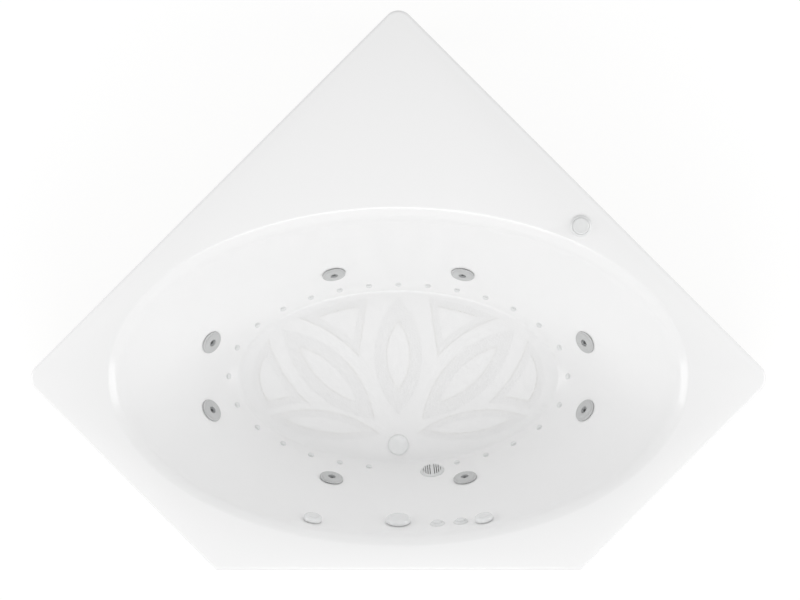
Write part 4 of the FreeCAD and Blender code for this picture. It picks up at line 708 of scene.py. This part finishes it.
WALL_CAP = [(10, -12), (12, -12), (12, 7), (11.7, 8), (11, 8.8), (9.6, 9.5), (8.4, 9.6), (7.6, 9.3),
            (4, 9.7), (0.5, 10)]
DECK_CAP = [(22, -18), (24, -18), (24, 7.5), (23.6, 8.6), (22.6, 9.6), (20.5, 10.4), (18.6, 10.6),
            (17.6, 10.2), (10, 10.7), (0.5, 11)]
for node, steps in (("push_button_near", WALL_CAP), ("push_button_far", WALL_CAP),
                    ("deck_button", DECK_CAP)):
    axis = -Vector(JOINTS[node + "_press"]["axis"])
    cap_top = steps[-1][1] * MM
    place = standing(highest_disc(node, axis), axis) @ Matrix.Translation((0, 0, -cap_top))
    cap = turned(node + "_piece", steps, place, WHITE_ABS)
    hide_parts(node)
    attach(cap, node)


# %% [markdown]
# ## Camera, floor and light
# The photograph looks straight down from far away, so the camera stands high over the bath with a
# long lens. One pixel is 2.88 mm on the deck, and the frame's origin falls on the named column and
# row of the picture. The floor is white to the camera and in reflections, and keeps a faint
# shadow. The light is a pale world with a soft lamp in front and a weaker one on each side, which
# lift the basin's steep walls towards the brightness of its floor.

# %% Camera
PIXEL = 2.88 * MM
PHOTO_WIDTH, PHOTO_HEIGHT = 800, 600
ORIGIN_COLUMN, ORIGIN_ROW = 398.3, 290.1
cam = bpy.data.cameras.new("camera")
cam.sensor_width, cam.lens = 36.0, 900.0
eye = bpy.data.objects.new("camera", cam)
bpy.context.scene.collection.objects.link(eye)
distance = PHOTO_WIDTH * PIXEL * cam.lens / cam.sensor_width
eye.location = ((PHOTO_WIDTH / 2 - ORIGIN_COLUMN) * PIXEL, (ORIGIN_ROW - PHOTO_HEIGHT / 2) * PIXEL,
                HIGH.z + distance)
cam.clip_start, cam.clip_end = 1.0, 200.0
bpy.context.scene.camera = eye
print("camera is", round(distance, 1), "m above the deck")


# %% Floor
def sees_directly(tree):
    """1 for camera, glossy and transmission rays, so that they all meet the same white."""
    path = tree.nodes.new("ShaderNodeLightPath")
    total = path.outputs["Is Camera Ray"]
    for ray in ("Is Glossy Ray", "Is Transmission Ray"):
        higher = tree.nodes.new("ShaderNodeMath")
        higher.operation = "MAXIMUM"
        tree.links.new(total, higher.inputs[0])
        tree.links.new(path.outputs[ray], higher.inputs[1])
        total = higher.outputs[0]
    return total


def floor_paint():
    """Seen directly it glows white and takes a faint shadow. Other rays bounce off a matte white."""
    material, output, _ = start_material("white studio floor")
    matte = add_node(material, "ShaderNodeBsdfDiffuse", {"Color": colour("dcdcdc")})
    faint = add_node(material, "ShaderNodeBsdfDiffuse", {"Color": colour("6a6a6a")})
    glow = add_node(material, "ShaderNodeEmission", {"Color": (1, 1, 1, 1), "Strength": 0.89})
    lit = add_node(material, "ShaderNodeAddShader", {}, {0: faint.outputs[0], 1: glow.outputs[0]})
    shader = add_node(material, "ShaderNodeMixShader", {},
                      {0: sees_directly(material.node_tree), 1: matte.outputs[0], 2: lit.outputs[0]})
    return finish_material(material, output, shader)


bpy.ops.object.select_all(action="DESELECT")
bpy.ops.mesh.primitive_plane_add(size=80, location=(0, 0, LOW.z - 0.5 * MM))
floor = bpy.context.object
floor.name = "studio_floor"
bpy.ops.object.transform_apply(location=True, rotation=True, scale=True)
wear(floor, floor_paint())

# %% World
SKY_STRENGTH = 0.617
world = bpy.data.worlds.new("pale studio")
bpy.context.scene.world = world
world.use_nodes = True
tree = world.node_tree
tree.nodes.clear()
sky = tree.nodes.new("ShaderNodeBackground")
sky.inputs["Color"].default_value = colour("ffffff")
sky.inputs["Strength"].default_value = SKY_STRENGTH
white = tree.nodes.new("ShaderNodeBackground")
white.inputs["Color"].default_value = (1, 1, 1, 1)
white.inputs["Strength"].default_value = 1.0
both = tree.nodes.new("ShaderNodeMixShader")
shown = tree.nodes.new("ShaderNodeOutputWorld")
tree.links.new(sees_directly(tree), both.inputs[0])
tree.links.new(sky.outputs[0], both.inputs[1])
tree.links.new(white.outputs[0], both.inputs[2])
tree.links.new(both.outputs[0], shown.inputs["Surface"])


# %% Lamps
def soft_lamp(name, place, target, size, power):
    """A square lamp that looks at a point."""
    data = bpy.data.lights.new(name, "AREA")
    data.shape, data.size, data.energy = "SQUARE", size, power
    lamp = bpy.data.objects.new(name, data)
    lamp.location = place
    lamp.rotation_mode = "QUATERNION"
    lamp.rotation_quaternion = (Vector(target) - Vector(place)).to_track_quat("-Z", "Y")
    bpy.context.scene.collection.objects.link(lamp)


soft_lamp("front_lamp", place=(0.0, -3.8, 4.4), target=(0, -0.1, 0.4), size=3.0, power=78)
for side, across in (("left", -3.8), ("right", 3.8)):
    soft_lamp(side + "_lamp", place=(across, 0.0, 1.7), target=(0, -0.2, 0.4), size=2.0, power=31)
bpy.context.scene.view_settings.view_transform = "Standard"
